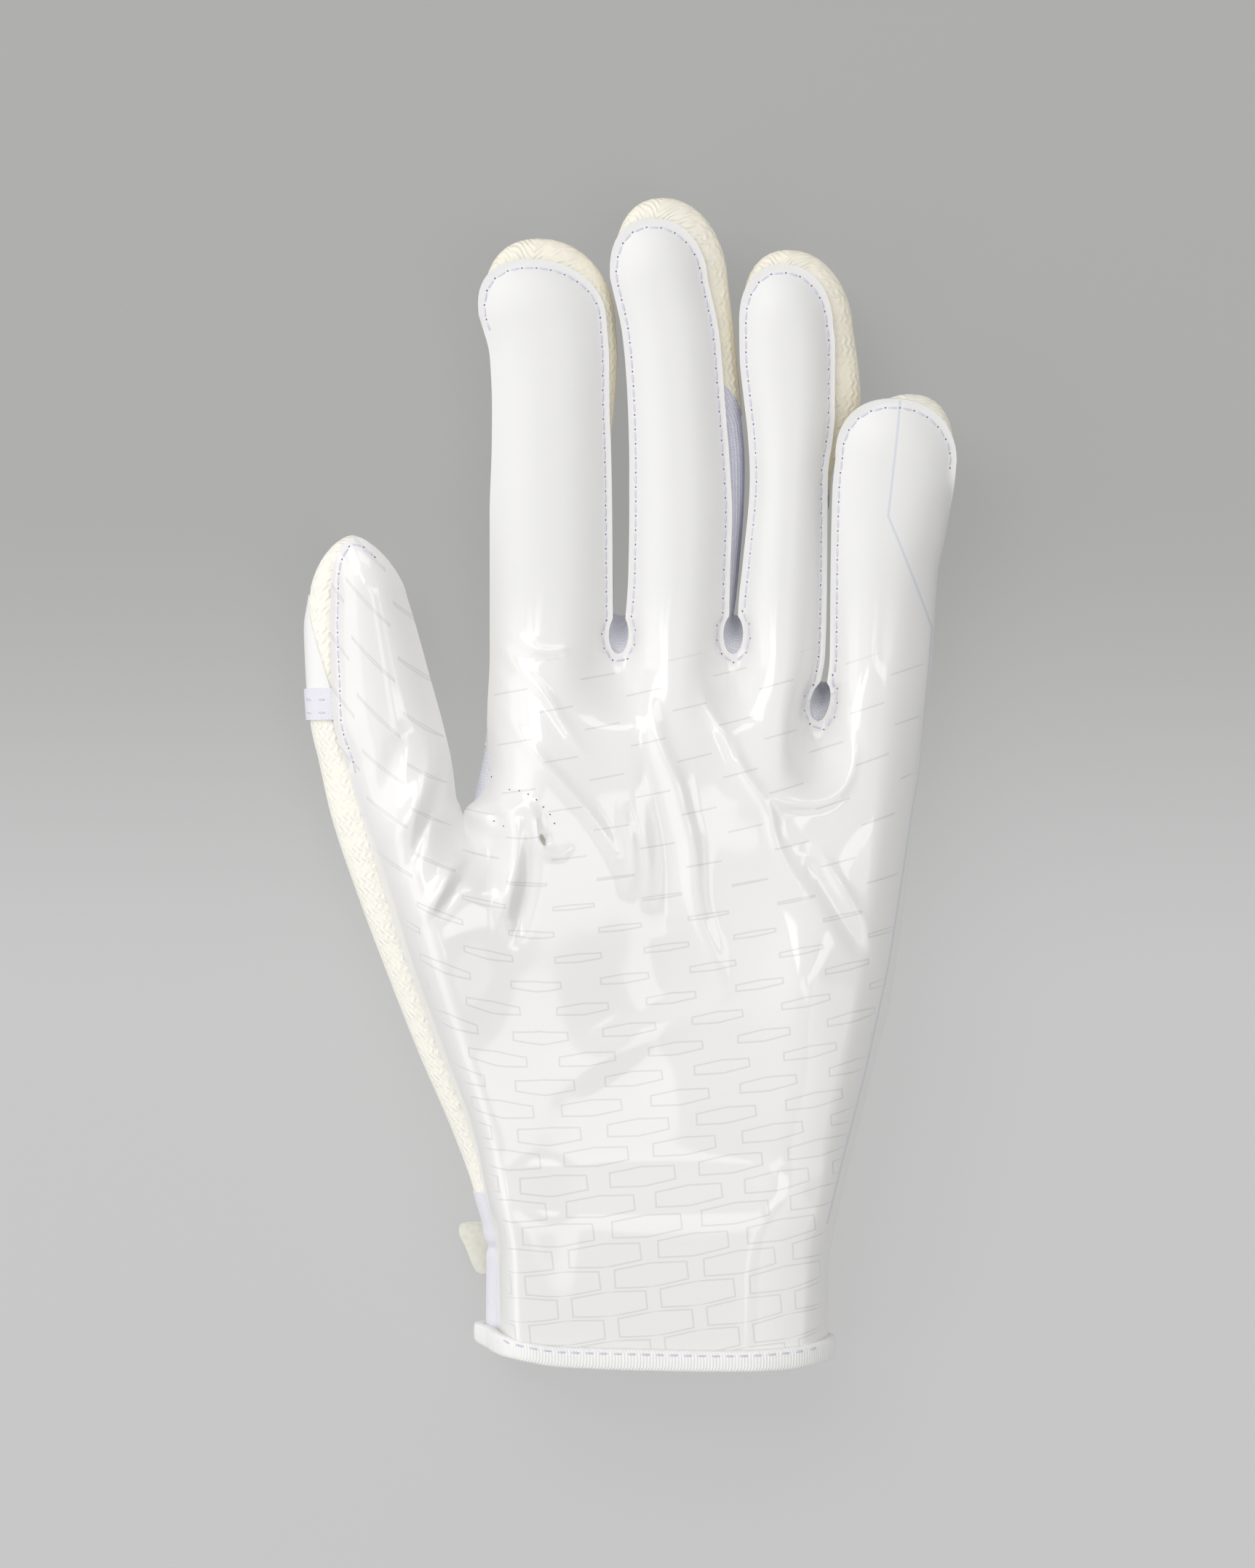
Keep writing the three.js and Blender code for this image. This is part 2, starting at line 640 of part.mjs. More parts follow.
// Pull tab of the wrist closure: a short suede strap that lies outside the back's wall and
// leaves it towards the thumb side
function makePullTab() {
  const outline = table("y reach", [
    [-96.0, -26.6],
    [-94.2, -30.2],
    [-90.5, -31.8],
    [-87.0, -33.0],
    [-85.4, -31.4],
  ]);
  const rows = outline.map(({ y, reach }) => {
    const row = [];
    for (let step = 0; step <= 5; step += 1) {
      const angle = mix(88, 52, step / 5);
      const point = wallPoint("thumb", -1, { y, b: 0 }, angle);
      const turn = radians(angle);
      const lay = strapThickness + pieceGap * 2;
      row.push([point[0] - lay * Math.cos(turn), y, point[2] - lay * Math.sin(turn)]);
    }
    const last = row[row.length - 1];
    row.push([mix(last[0], reach, 0.5), y, last[2] + 0.7]);
    row.push([reach, y, last[2] + 0.9]);
    return row;
  });
  const sheet = new Sheet();
  sheet.patch(rows, false);
  addPiece("pull_tab", sheet.thicken(strapThickness), 0xefeee2, 0.95);
}

// Bound hem: a closed band round the wrist opening
function makeBinding() {
  const around = 32;
  const left = section("thumb", panelEnd, "wallLeft");
  const right = section("pinky", panelEnd, "palmRight");
  const low = baseHeight("middle", panelEnd);
  const high = crownHeight("middle", panelEnd);
  const centreX = (left + right) / 2;
  const centreZ = (low + high) / 2;
  const squareness = 4.6;
  const ring = (grow, line, shift) => {
    const points = [];
    for (let step = 0; step < around; step += 1) {
      const turn = (2 * Math.PI * step) / around;
      const reach = 2 / squareness;
      const cos = Math.cos(turn);
      const sin = Math.sin(turn);
      const x = centreX + Math.sign(cos) * Math.pow(Math.abs(cos), reach) * ((right - left) / 2 + grow);
      const z = centreZ + Math.sign(sin) * Math.pow(Math.abs(sin), reach) * ((high - low) / 2 + grow);
      points.push([x, read(hem, "x", x, line) + shift, z]);
    }
    return points;
  };
  const outer = 0.9;
  const inner = outer - bindingThickness;
  const loops = [
    ring(outer - 0.5, "top", 0),
    ring(outer, "top", -0.8),
    ring(outer, "bottom", 1.0),
    ring(outer - 0.7, "bottom", 0),
    ring(inner + 0.4, "bottom", 0),
    ring(inner, "bottom", 1.0),
    ring(inner, "top", 0),
  ];
  const sheet = new Sheet();
  const closed = [...loops, loops[0]].map((loop) => [...loop, loop[0]]);
  sheet.patch(closed, false);
  const geometry = new THREE.BufferGeometry();
  geometry.setAttribute("position", new THREE.Float32BufferAttribute(sheet.points.flat(), 3));
  geometry.setIndex(sheet.faces.flat());
  addPiece("cuff_binding", mergeVertices(geometry, 1e-3), 0xf4f4f2, 0.8);
}

makePalm();
makeBack();
makeSideWall("thumb_gusset", gaps[0]);
makeSideWall("fourchette_index_middle", gaps[1]);
makeSideWall("fourchette_middle_ring", gaps[2]);
makeSideWall("fourchette_ring_pinky", gaps[3]);
makeThumbPatch();
makeThumbTape();
makeWristStrip();
makePullTab();
makeBinding();

// The origin is the middle of the box's lower face
const box = new THREE.Box3().setFromObject(group);
const middle = box.getCenter(new THREE.Vector3());
group.position.set(-middle.x, -middle.y, -box.min.z);

export default group;
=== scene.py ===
import math
from functools import lru_cache

import bmesh
import bpy
import numpy as np
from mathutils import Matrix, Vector
from mathutils.bvhtree import BVHTree


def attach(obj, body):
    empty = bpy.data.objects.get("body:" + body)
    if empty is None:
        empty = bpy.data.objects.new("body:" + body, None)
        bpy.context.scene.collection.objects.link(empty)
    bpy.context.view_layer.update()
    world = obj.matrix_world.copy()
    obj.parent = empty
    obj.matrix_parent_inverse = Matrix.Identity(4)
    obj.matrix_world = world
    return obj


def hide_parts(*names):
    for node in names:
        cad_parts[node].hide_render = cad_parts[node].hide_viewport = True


# A left-hand football glove on its back, palm up, fingers along +Y and thumb towards -X.
# Shapes are worked out in millimetres and placed in metres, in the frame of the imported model.

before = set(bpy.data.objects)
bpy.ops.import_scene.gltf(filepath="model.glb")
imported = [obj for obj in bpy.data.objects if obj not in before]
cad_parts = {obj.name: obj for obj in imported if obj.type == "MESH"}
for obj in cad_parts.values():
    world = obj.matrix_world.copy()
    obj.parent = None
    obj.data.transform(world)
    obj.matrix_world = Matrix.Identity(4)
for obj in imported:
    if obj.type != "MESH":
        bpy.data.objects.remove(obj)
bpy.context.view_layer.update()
mm = 0.001
frameShift = np.array((0.34, 0.05, 0.24))     # from the tables' places to the frame's, in mm
print("frame loaded")


def mix(a, b, share):
    return a + (b - a) * share


def clamp(value, low, high):
    return min(max(value, low), high)


def smooth(value, low, high):
    t = np.clip((value - low) / (high - low), 0, 1)
    return t * t * (3 - 2 * t)


def table(names, rows):
    return [dict(zip(names.split(), row)) for row in rows]


# Sections of each digit: the two edges of the palm panel and the widest reach of the walls
sectionColumns = "y palmLeft palmRight wallLeft wallRight"
sections = {
    "thumb": table(sectionColumns, [
        (-104.5, -25.1, -14.4, -27.3, -14.4),
        (-90.0, -25.3, -15.6, -27.2, -15.6),
        (-79.0, -27.6, -16.8, -29.8, -16.8),
        (-67.5, -30.4, -18.4, -34.0, -18.4),
        (-52.0, -36.2, -21.0, -40.7, -21.0),
        (-35.4, -42.4, -24.4, -47.2, -24.4),
        (-22.3, -46.5, -27.8, -52.1, -27.8),
        (-6.0, -51.4, -32.6, -57.5, -32.9),
        (4.0, -54.2, -33.9, -59.7, -34.3),
        (12.0, -56.5, -35.7, -61.4, -36.1),
        (20.0, -56.8, -37.9, -61.9, -38.3),
        (30.0, -57.1, -40.6, -62.2, -41.0),
        (36.0, -56.9, -42.4, -61.3, -42.9),
    ]),
    "index": table(sectionColumns, [
        (-104.5, -13.4, -1.4, -13.4, -1.4),
        (-50.0, -20.8, -1.8, -20.8, -1.8),
        (-22.0, -26.7, -2.1, -26.7, -2.1),
        (-6.0, -31.0, -2.4, -31.0, -2.4),
        (-0.5, -27.5, -2.45, -29.7, -2.7),
        (4.0, -26.9, -2.5, -28.6, -2.9),
        (12.0, -27.2, -2.7, -27.1, -3.2),
        (25.0, -26.7, -2.9, -26.2, -3.2),
        (38.0, -26.7, -3.0, -26.2, -2.5),
        (52.0, -26.7, -3.1, -26.1, -3.2),
        (64.0, -26.3, -3.3, -25.7, -3.4),
        (72.0, -26.2, -3.6, -25.6, -2.7),
        (82.0, -26.6, -3.7, -26.0, -2.0),
        (90.0, -28.7, -4.3, -27.8, -2.5),
    ]),
    "middle": table(sectionColumns, [
        (-104.5, 0.4, 12.3, 0.4, 12.3),
        (-50.0, 0.0, 15.9, 0.0, 15.9),
        (-6.0, -0.6, 18.8, -0.6, 18.8),
        (25.0, -0.9, 19.3, -0.3, 19.8),
        (40.0, 0.0, 19.6, 0.6, 21.8),
        (52.0, 0.2, 20.0, 0.9, 22.8),
        (62.0, 0.2, 19.5, 0.9, 23.0),
        (70.6, 0.0, 18.8, 0.7, 22.2),
        (77.0, -0.3, 18.3, 0.4, 21.5),
        (86.0, -1.1, 17.5, -0.4, 20.6),
        (97.0, -3.5, 15.2, -2.7, 19.2),
    ]),
    "ring": table(sectionColumns, [
        (-104.5, 14.1, 25.3, 14.1, 25.3),
        (-50.0, 17.7, 31.4, 17.7, 31.4),
        (-6.0, 20.6, 35.0, 20.6, 35.0),
        (12.0, 20.8, 35.6, 20.9, 36.2),
        (25.0, 21.0, 37.9, 21.6, 38.1),
        (34.0, 21.2, 38.2, 21.8, 38.4),
        (42.0, 22.0, 38.3, 22.3, 38.5),
        (59.0, 23.4, 38.4, 23.4, 39.3),
        (67.0, 23.0, 39.4, 23.3, 42.2),
        (74.0, 22.2, 40.0, 22.9, 45.0),
        (82.0, 21.4, 40.0, 22.1, 44.3),
        (88.0, 21.3, 39.3, 22.1, 43.4),
    ]),
    "pinky": table(sectionColumns, [
        (-104.5, 27.1, 38.8, 27.1, 38.4),
        (-92.0, 28.5, 38.9, 28.5, 38.5),
        (-80.5, 29.8, 41.2, 29.8, 40.7),
        (-67.5, 31.2, 44.5, 31.2, 44.0),
        (-51.4, 33.1, 48.5, 33.1, 48.0),
        (-42.4, 33.9, 50.8, 33.9, 50.3),
        (-30.3, 34.9, 52.6, 34.9, 52.1),
        (-6.0, 36.8, 55.6, 36.8, 55.1),
        (12.0, 37.3, 57.4, 37.8, 56.9),
        (25.0, 38.8, 58.9, 39.6, 58.4),
        (41.0, 38.9, 59.9, 40.0, 59.4),
        (49.0, 39.0, 61.5, 40.3, 61.0),
        (57.0, 39.2, 62.5, 41.0, 62.1),
        (62.0, 39.7, 62.9, 42.6, 62.6),
    ]),
}
order = ["thumb", "index", "middle", "ring", "pinky"]

# Where each digit's strip leaves the hand, how far its tip curls up, and its rounded ends
digits = {row["name"]: row for row in table(
    "name crotch webCrotch lift liftFrom tipPower palmTip wallTip", [
        ("thumb", -6, -8, 9, -55, 1.6, (-52.2, 47.3), (-53.0, 47.8)),
        ("index", 25, 31, 7, 12, 2.2, (-18.8, 100.6), (-17.3, 105.1)),
        ("middle", 25, 31, 8, 12, 2.2, (4.6, 108.3), (6.6, 112.8)),
        ("ring", 25, 31, 7, 12, 2.2, (29.6, 99.6), (30.9, 102.9)),
        ("pinky", 12, 18, 9, 2, 2.2, (50.6, 73.6), (54.2, 74.9)),
    ])}

gaps = table("left right crotch webCrotch keyhole knitEnd meshStart", [
    ("thumb", "index", -6, -8, None, 18, 4),
    ("index", "middle", 25, 31, 28.8, 70, 62),
    ("middle", "ring", 25, 31, 28.8, 78, 70),
    ("ring", "pinky", 12, 18, 15.8, 60, 52),
])

# Height of the wall up to the seam, and of the palm's crown above it, beyond a digit's crotch
heights = table("beyond wall crown", [
    (-100, 12.0, 11.0),
    (-60, 12.5, 11.5),
    (-30, 12.5, 11.0),
    (-10, 12.0, 9.0),
    (0, 11.5, 7.5),
    (12, 11.0, 6.0),
    (45, 10.0, 5.0),
    (85, 9.0, 4.0),
])

hem = table("x top bottom", [
    (-30, -104.0, -107.8),
    (-27, -104.3, -108.7),
    (-21, -105.6, -109.6),
    (-13, -106.8, -110.9),
    (4, -107.3, -111.6),
    (19, -107.6, -111.8),
    (30, -107.2, -111.6),
    (38, -106.4, -110.8),
])

build = dict(
    palmThickness=1.2,
    backThickness=1.4,
    meshThickness=1.0,
    bindingThickness=2.4,
    strapThickness=1.4,
    pieceGap=0.4,
    seamGap=0.25,
    hemTuck=1.4,           # how far the panels reach into the binding
    wrapGap=1.1,
    wrapRim=8,
    seamSeat=1.6,
    panelEnd=-104.5,
    keyholeHalfWidth=1.9,
    keyholeHalfHeight=3.8,
    webRound=3,
    lipTop=-86,
    gapRim=25,
    wristLift=1.95,
    stripTop=-79,
    stripRim=30,
    wrapFrom=50,
    wrapTo=61,
    waistShare=0.6,
    liftPower=1.7,
    wristRise=(70, 84),    # distances below the middle over which the wrist lifts off
    hemBendFrom=78,
    crotchBlend=10,        # below a crotch, where the cut edges draw together
    partedLength=3.0,
    ownBlend=16,           # below a crotch, where a digit's own round begins
    joinedBlend=15,        # above a crotch, where neighbours still share a height
    tipLean=1.3,
    edgeReach=17,          # where the palm begins to fall towards its outer edge
    edgeDrop=3.2,
    edgeDropOver=(-60, -20),
    wristDrop=2.8,
    wristDropOver=(10, 70),
    foldSharpness=1.6,
    foldEnd=0.02,          # share of a fold's length at which its fade stops
    plainAbove=(30, 45),   # levels between which the folds die out
    foldStep=0.7,          # distance between rows where the palm is folded
    plainStep=1.5,
    longestStep=1.4,       # most that a last step may stretch
    closestRows=0.18,
    lastRowGap=0.2,
    levelSlack=0.01,
    foldLow=-50,
    foldHigh=31,
    keyholeRows=18,
    mergeDistance=0.002,
    sharpAngle=48,
)


@lru_cache(maxsize=None)
def readRow(rows, key, at, name):
    # a monotone curve through the rows of a table
    last = len(rows) - 1
    keys = [dict(row)[key] for row in rows]
    values = [dict(row)[name] for row in rows]
    if at <= keys[0]:
        return values[0]
    if at >= keys[last]:
        return values[last]
    place = next(i for i in range(last) if keys[i + 1] >= at)

    def slope(row):
        return (values[row + 1] - values[row]) / (keys[row + 1] - keys[row])

    def tangent(row):
        if row in (0, last):
            return slope(min(row, last - 1))
        before, after = slope(row - 1), slope(row)
        return 0 if before * after <= 0 else 2 * before * after / (before + after)

    span = keys[place + 1] - keys[place]
    t = (at - keys[place]) / span
    rise = t * t * (3 - 2 * t)
    leave = t * (1 - t) * (1 - t) * span * tangent(place)
    arrive = t * t * (t - 1) * span * tangent(place + 1)
    return mix(values[place], values[place + 1], rise) + leave + arrive


frozen = {}


def read(rows, key, at, name):
    if id(rows) not in frozen:
        frozen[id(rows)] = tuple(tuple(row.items()) for row in rows)
    return readRow(frozen[id(rows)], key, float(at), name)


def section(name, y, column):
    return read(sections[name], "y", y, column)


def capStart(name):
    return sections[name][-1]["y"]


def gapBeside(name, side):
    key = "left" if side > 0 else "right"
    return next((gap for gap in gaps if gap[key] == name), None)


def baseHeight(name, y):
    digit = digits[name]
    along = clamp((y - digit["liftFrom"]) / (digit["wallTip"][1] - digit["liftFrom"]), 0, 1)
    wrist = build["wristLift"] * float(smooth(-y, *build["wristRise"]))
    return digit["lift"] * along ** build["liftPower"] + wrist


def seamHeight(name, y):
    return baseHeight(name, y) + read(heights, "beyond", y - digits[name]["crotch"], "wall")


def crownHeight(name, y):
    return seamHeight(name, y) + read(heights, "beyond", y - digits[name]["crotch"], "crown")


def waistHeight(name, y):
    return mix(baseHeight(name, y), seamHeight(name, y), build["waistShare"])


def hemShift(x, y):
    # bends the lower ends of the panels to the curve of the hem
    reach = read(hem, "x", round(float(x), 2), "top") - build["panelEnd"] - build["hemTuck"]
    return reach * float(smooth(-y, build["hemBendFrom"], -build["panelEnd"]))


def keyholeHalf(gap, y):
    if gap["keyhole"] is None:
        return 0
    off = (y - gap["keyhole"]) / build["keyholeHalfHeight"]
    return build["keyholeHalfWidth"] * math.sqrt(max(0, 1 - off * off))


def palmEdge(name, side, y):
    edge = section(name, y, "palmLeft" if side < 0 else "palmRight")
    gap = gapBeside(name, side)
    if not gap:
        return edge
    other = section(gap["right" if side > 0 else "left"], y, "palmLeft" if side > 0 else "palmRight")
    centre = (edge + other) / 2
    if y < gap["crotch"]:
        return mix(edge, centre, float(smooth(y, gap["crotch"] - build["crotchBlend"], gap["crotch"])))
    parted = clamp((y - gap["crotch"]) / build["partedLength"], 0, 1)
    if gap["keyhole"] is not None:
        parted = float(smooth(y, gap["crotch"], gap["keyhole"]))
    return centre - side * max(parted * abs(other - edge) / 2, keyholeHalf(gap, y))


def tipWidth(name, b):
    # width of a digit's rounded end, as a share, at the share b of that end's length
    power = digits[name]["tipPower"]
    return (1 - b ** power) ** (1 / power)


def outlinePoint(name, side, place, wall=False, inset=0.0):
    y, b = place
    capAt = capStart(name)
    tip = digits[name]["wallTip" if wall else "palmTip"]

    def edgeAt(way, level):
        if wall:
            return section(name, level, "wallLeft" if way < 0 else "wallRight")
        return palmEdge(name, way, level)

    if b == 0:
        return edgeAt(side, y) - side * inset, y
    left = edgeAt(-1, capAt) + inset
    right = edgeAt(1, capAt) - inset
    width = tipWidth(name, b)
    centre = mix((left + right) / 2, tip[0], b ** build["tipLean"])
    return centre + side * (right - left) * width / 2, capAt + (tip[1] - inset - capAt) * b


def ownShare(name, side, y, key):
    gap = gapBeside(name, side)
    return 1.0 if not gap else float(smooth(y, gap[key] - build["ownBlend"], gap[key]))


def wrapShare(name, side, place):
    # share by which the palm panel wraps down over the outer edge of the hand
    if name != "pinky" or side < 0 or place[1] > 0:
        return 0.0
    return 1 - float(smooth(place[0], build["wrapFrom"], build["wrapTo"]))


def rimAngle(name, side, place):
    # angle where the knit back ends: over the edge as a lip, or below the mesh wall
    y, b = place
    if b > 0:
        return build["lipTop"]
    if name == "thumb" and side < 0:
        return build["stripRim"] if y < build["stripTop"] else build["lipTop"]
    if name == "pinky" and side > 0:
        return mix(build["lipTop"], build["wrapRim"], wrapShare(name, side, place))
    gap = gapBeside(name, side)
    if not gap:
        return build["lipTop"]
    share = clamp((y - gap["meshStart"]) / (gap["knitEnd"] - gap["meshStart"]), 0, 1)
    return mix(build["gapRim"], build["lipTop"], share)


def wallPoint(name, side, place, angle):
    # 90 degrees is the underside, 0 the widest line, below zero it turns in to its seat
    reachX, y = outlinePoint(name, side, place, wall=True)
    waist = waistHeight(name, y)
    turn = math.radians(angle)
    if angle < 0:
        seatX, seatY = outlinePoint(name, side, place, inset=build["seamSeat"])
        share = math.cos(turn)
        top = seamHeight(name, seatY)
        return [mix(seatX, reachX, share), mix(seatY, y, share), mix(waist, top, math.sin(-turn))]
    centre = (reachX + outlinePoint(name, -side, place, wall=True)[0]) / 2
    width = 1 if place[1] == 0 else math.sqrt(1 - place[1] ** 2)
    fall = (waist - baseHeight(name, y)) * width * math.sin(turn)
    return [mix(centre, reachX, math.cos(turn)), y, waist - fall]


# Folds of the palm: the path of each crest, its half width and height; a crease is below 0
folds = table("width height path", [
    (2.6, 1.5, [(-38.5, 11.5), (-36.5, 4.5), (-39.0, -2.5), (-42.5, -8.0), (-46.0, -12.5)]),
    (2.6, -0.9, [(-42.8, 9.1), (-45.7, 3.5), (-46.9, -2.8), (-48.6, -5.0)]),
    (1.3, -1.1, [(-35.3, 3.0), (-36.4, -1.2), (-38.1, -5.6), (-40.0, -11.5), (-42.4, -17.5)]),
    (1.9, 1.6, [(-28.2, -5.6), (-27.6, -8.0), (-30.3, -11.5), (-32.8, -15.5), (-36.0, -21.5),
                (-38.5, -25.0)]),
    (1.3, -1.0, [(-28.5, -12.5), (-31.0, -16.0), (-33.4, -20.5), (-36.5, -25.5)]),
    (2.2, 1.8, [(-21.9, -5.8), (-21.5, -12.5), (-22.2, -19.0), (-24.0, -26.0)]),
    (1.6, -0.8, [(-18.6, -12.0), (-19.0, -20.0), (-21.5, -29.5)]),
    (1.5, -0.9, [(-25.6, -9.5), (-26.2, -15.0), (-27.5, -21.0)]),
    (1.4, -2.2, [(-27.8, -2.4), (-26.4, -5.2), (-24.0, -7.4)]),
    (0.9, 0.7, [(-22.2, -5.0), (-19.9, -3.7), (-17.6, -6.0), (-16.9, -10.0), (-15.6, -13.0),
                (-13.2, -14.2), (-11.6, -12.6)]),
    (0.8, -1.2, [(-16.4, -9.8), (-15.4, -11.6)]),
    (1.2, 0.6, [(-25.7, 30.6), (-23.7, 24.8), (-19.3, 20.7), (-15.6, 17.2), (-12.4, 11.4),
                (-8.6, 6.2)]),
    (1.2, 0.5, [(-23.4, 29.1), (-19.9, 27.1), (-17.0, 25.4), (-14.1, 25.1), (-10.6, 26.2)]),
    (1.3, 0.7, [(-26.0, 15.6), (-24.0, 15.0), (-21.1, 9.7), (-16.4, 4.5), (-11.8, -0.8),
                (-7.7, -5.4), (-4.8, -9.5), (-1.9, -14.7), (0.4, -20.2)]),
    (1.3, 0.55, [(-1.3, -4.8), (0.7, -10.6), (1.0, -16.4), (0.4, -20.5)]),
    (1.1, 0.3, [(1.6, -5.4), (3.6, -11.8), (3.9, -23.4)]),
    (0.8, 0.35, [(-25.6, 21.5), (-24.3, 20.8), (-22.4, 16.1)]),
    (0.8, 0.35, [(-25.7, 11.4), (-24.8, 7.4), (-23.7, 3.0)]),
    (2.2, 1.0, [(1.6, 22.5), (2.7, 18.4), (5.0, 12.0), (6.2, 6.2), (9.1, 0.4), (10.6, -6.0),
                (12.3, -11.8), (12.6, -23.4), (16.4, -32.1), (18.0, -39.6)]),
    (3.0, -0.8, [(2.5, 8.0), (5.5, -4.0), (7.5, -14.0), (7.5, -26.0)]),
    (1.5, 0.8, [(13.7, 19.0), (14.9, 14.9), (18.4, 9.1), (21.3, 3.3), (24.2, -1.3), (27.1, -5.4),
                (27.7, -10.6), (30.6, -16.4), (33.5, -20.5)]),
    (1.5, 0.8, [(42.2, 14.3), (42.2, 9.1), (43.1, 5.0), (41.9, 0.4), (38.7, -3.1), (32.9, -3.9),
                (28.3, -3.1), (24.8, -0.5)]),
    (2.3, -1.2, [(34.0, -13.5), (37.2, -20.0), (41.5, -27.0), (45.5, -33.3)]),
    (1.1, 0.5, [(35.8, -12.0), (40.6, -19.5), (44.9, -26.5)]),
    (1.8, 0.5, [(21.0, 22.0), (25.5, 15.5)]),
    (5.0, 0.5, [(-14.0, -57.0), (0.0, -49.0), (12.0, -44.0), (24.0, -46.0)]),
])

mounds = table("x y reachX reachY height", [
    (-38, -26, 12, 24, 3.0),
    (36, -42, 12, 28, 2.0),
    (5, -40, 16, 24, -2.2),
    (32.5, -39, 5, 10, 1.2),
    (35, 4, 5, 5, -0.7),
    (-15, 8, 9, 9, 0.9),
    (9, 8, 8, 9, 0.9),
    (28, 4, 8, 9, 0.9),
    (47, -4, 8, 10, 1.0),
    (-15, 50, 9, 7, -0.5),
    (11, 57, 8, 8, -0.5),
    (30, 50, 7, 8, -0.4),
])


def softPath(points):
    # cuts the corners of a path twice
    path = np.array(points)
    for _ in range(2):
        before, after = path[:-1], path[1:]
        cut = np.stack([mix(before, after, 0.25), mix(before, after, 0.75)], 1).reshape(-1, 2)
        path = np.vstack([path[:1], cut, path[-1:]])
    return path


def pathLengths(path):
    return np.concatenate([[0], np.cumsum(np.linalg.norm(np.diff(path, axis=0), axis=1))])


def foldField(fold, x, y):
    # a rounded ridge along its path, which fades out at both ends
    path = softPath(fold["path"])
    lengths = pathLengths(path)
    best = np.full(x.shape, np.inf)
    along = np.zeros(x.shape)
    for i, ((ax, ay), (bx, by)) in enumerate(zip(path, path[1:])):
        span = lengths[i + 1] - lengths[i]
        share = np.clip(((x - ax) * (bx - ax) + (y - ay) * (by - ay)) / (span * span), 0, 1)
        distance = np.hypot(x - mix(ax, bx, share), y - mix(ay, by, share))
        nearer = distance < best
        best = np.where(nearer, distance, best)
        along = np.where(nearer, (lengths[i] + share * span) / lengths[-1], along)
    fade = np.sqrt(np.sin(np.pi * np.clip(along, build["foldEnd"], 1 - build["foldEnd"])))
    return fold["height"] * np.exp(-build["foldSharpness"] * (best / fold["width"]) ** 2) * fade


def relief(x, y):
    total = np.zeros(x.shape)
    for mound in mounds:
        dx = (x - mound["x"]) / mound["reachX"]
        dy = (y - mound["y"]) / mound["reachY"]
        total += mound["height"] * np.exp(-dx * dx - dy * dy)
    for fold in folds:
        total += foldField(fold, x, y)
    total *= 1 - smooth(y, *build["plainAbove"])
    rightEdge = np.vectorize(lambda level: section("pinky", level, "palmRight"))(y[:, :1])
    turn = np.clip((x - rightEdge + build["edgeReach"]) / build["edgeReach"], 0, 1)
    fingerDrop = build["edgeDrop"] * smooth(-y, *build["edgeDropOver"])
    wristDrop = build["wristDrop"] * smooth(-y, *build["wristDropOver"])
    return total - (fingerDrop + wristDrop) * turn * turn


def acrossHand(name, y, xs, heightOf, key):
    # a height that passes smoothly from strip to strip where they are still joined
    centres = {n: (section(n, y, "palmLeft") + section(n, y, "palmRight")) / 2 for n in order}
    own = heightOf(name, y)
    out = np.full(len(xs), own, float)
    for side in (-1, 1):
        gap = gapBeside(name, side)
        if gap is None:
            continue
        other = gap["right" if side > 0 else "left"]
        joined = 1 - smooth(y, gap[key], gap[key] + build["joinedBlend"])
        share = smooth((xs - centres[name]) / (centres[other] - centres[name]), 0, 1) * joined
        there = (xs - centres[name]) * side > 0
        out = np.where(there, mix(own, heightOf(other, y), share), out)
    return out


# Outer sides where the panel turns down over the edge, with no flat rim outside its stitches
plainRims = table("name side below above", [
    ("index", -1, 86, 200),
    ("thumb", -1, 1, 46.5),
    ("thumb", 1, 200, 300),
])


palmPiece = dict(
    columns=39,
    capRows=14,
    endWidth=0.09,         # share of a tip's width that its last row keeps
    keyholes=True,
    flange=1.2,            # the flat rim outside the stitches
    rimStart=4,
    rimEnd=6,
    rimSoft=0.07,
    joinedSoft=0.6,        # gentler rise where neighbours are joined
    joinedReach=6,
    turnedLay=0.2,         # seat of the edge where it has no flat rim
    straight=0.5,          # share of the width that a keyhole doesn't bend
    crownReach=0.95,
    softPower=2.2,
    roundShare=0.3,
    tiny=1e-9,
)


def rimShare(name, side, y):
    for rim in plainRims:
        if rim["name"] == name and rim["side"] == side:
            starts = smooth(y, rim["below"], rim["below"] + palmPiece["rimStart"])
            ends = 1 - smooth(y, rim["above"] - palmPiece["rimEnd"], rim["above"])
            return float(starts * ends)
    return 1.0


def palmRim(name, side, place, y):
    # one side of a strip: its seat, own share, flat rim, wrap and the softness of its rise
    wrap = wrapShare(name, side, place)
    drop, own = 0, 1
    if wrap > 0:
        drop = seamHeight(name, y) - wallPoint(name, side, place, rimAngle(name, side, place))[2]
    rim = rimShare(name, side, y)
    seat = build["seamGap"] + mix(palmPiece["turnedLay"], build["palmThickness"], rim)
    soft = palmPiece["rimSoft"] * (1 - wrap)
    gap = gapBeside(name, side)
    if place[1] == 0:
        own = ownShare(name, side, y, "crotch")
    if gap and place[1] == 0:
        below = float(smooth(gap["crotch"] - y, 0, palmPiece["joinedReach"]))
        rim *= 1 - below
        soft = mix(soft, palmPiece["joinedSoft"], below)
    return mix(seat, build["wrapGap"], wrap) - drop, own, rim * palmPiece["flange"] * (1 - wrap), wrap, soft


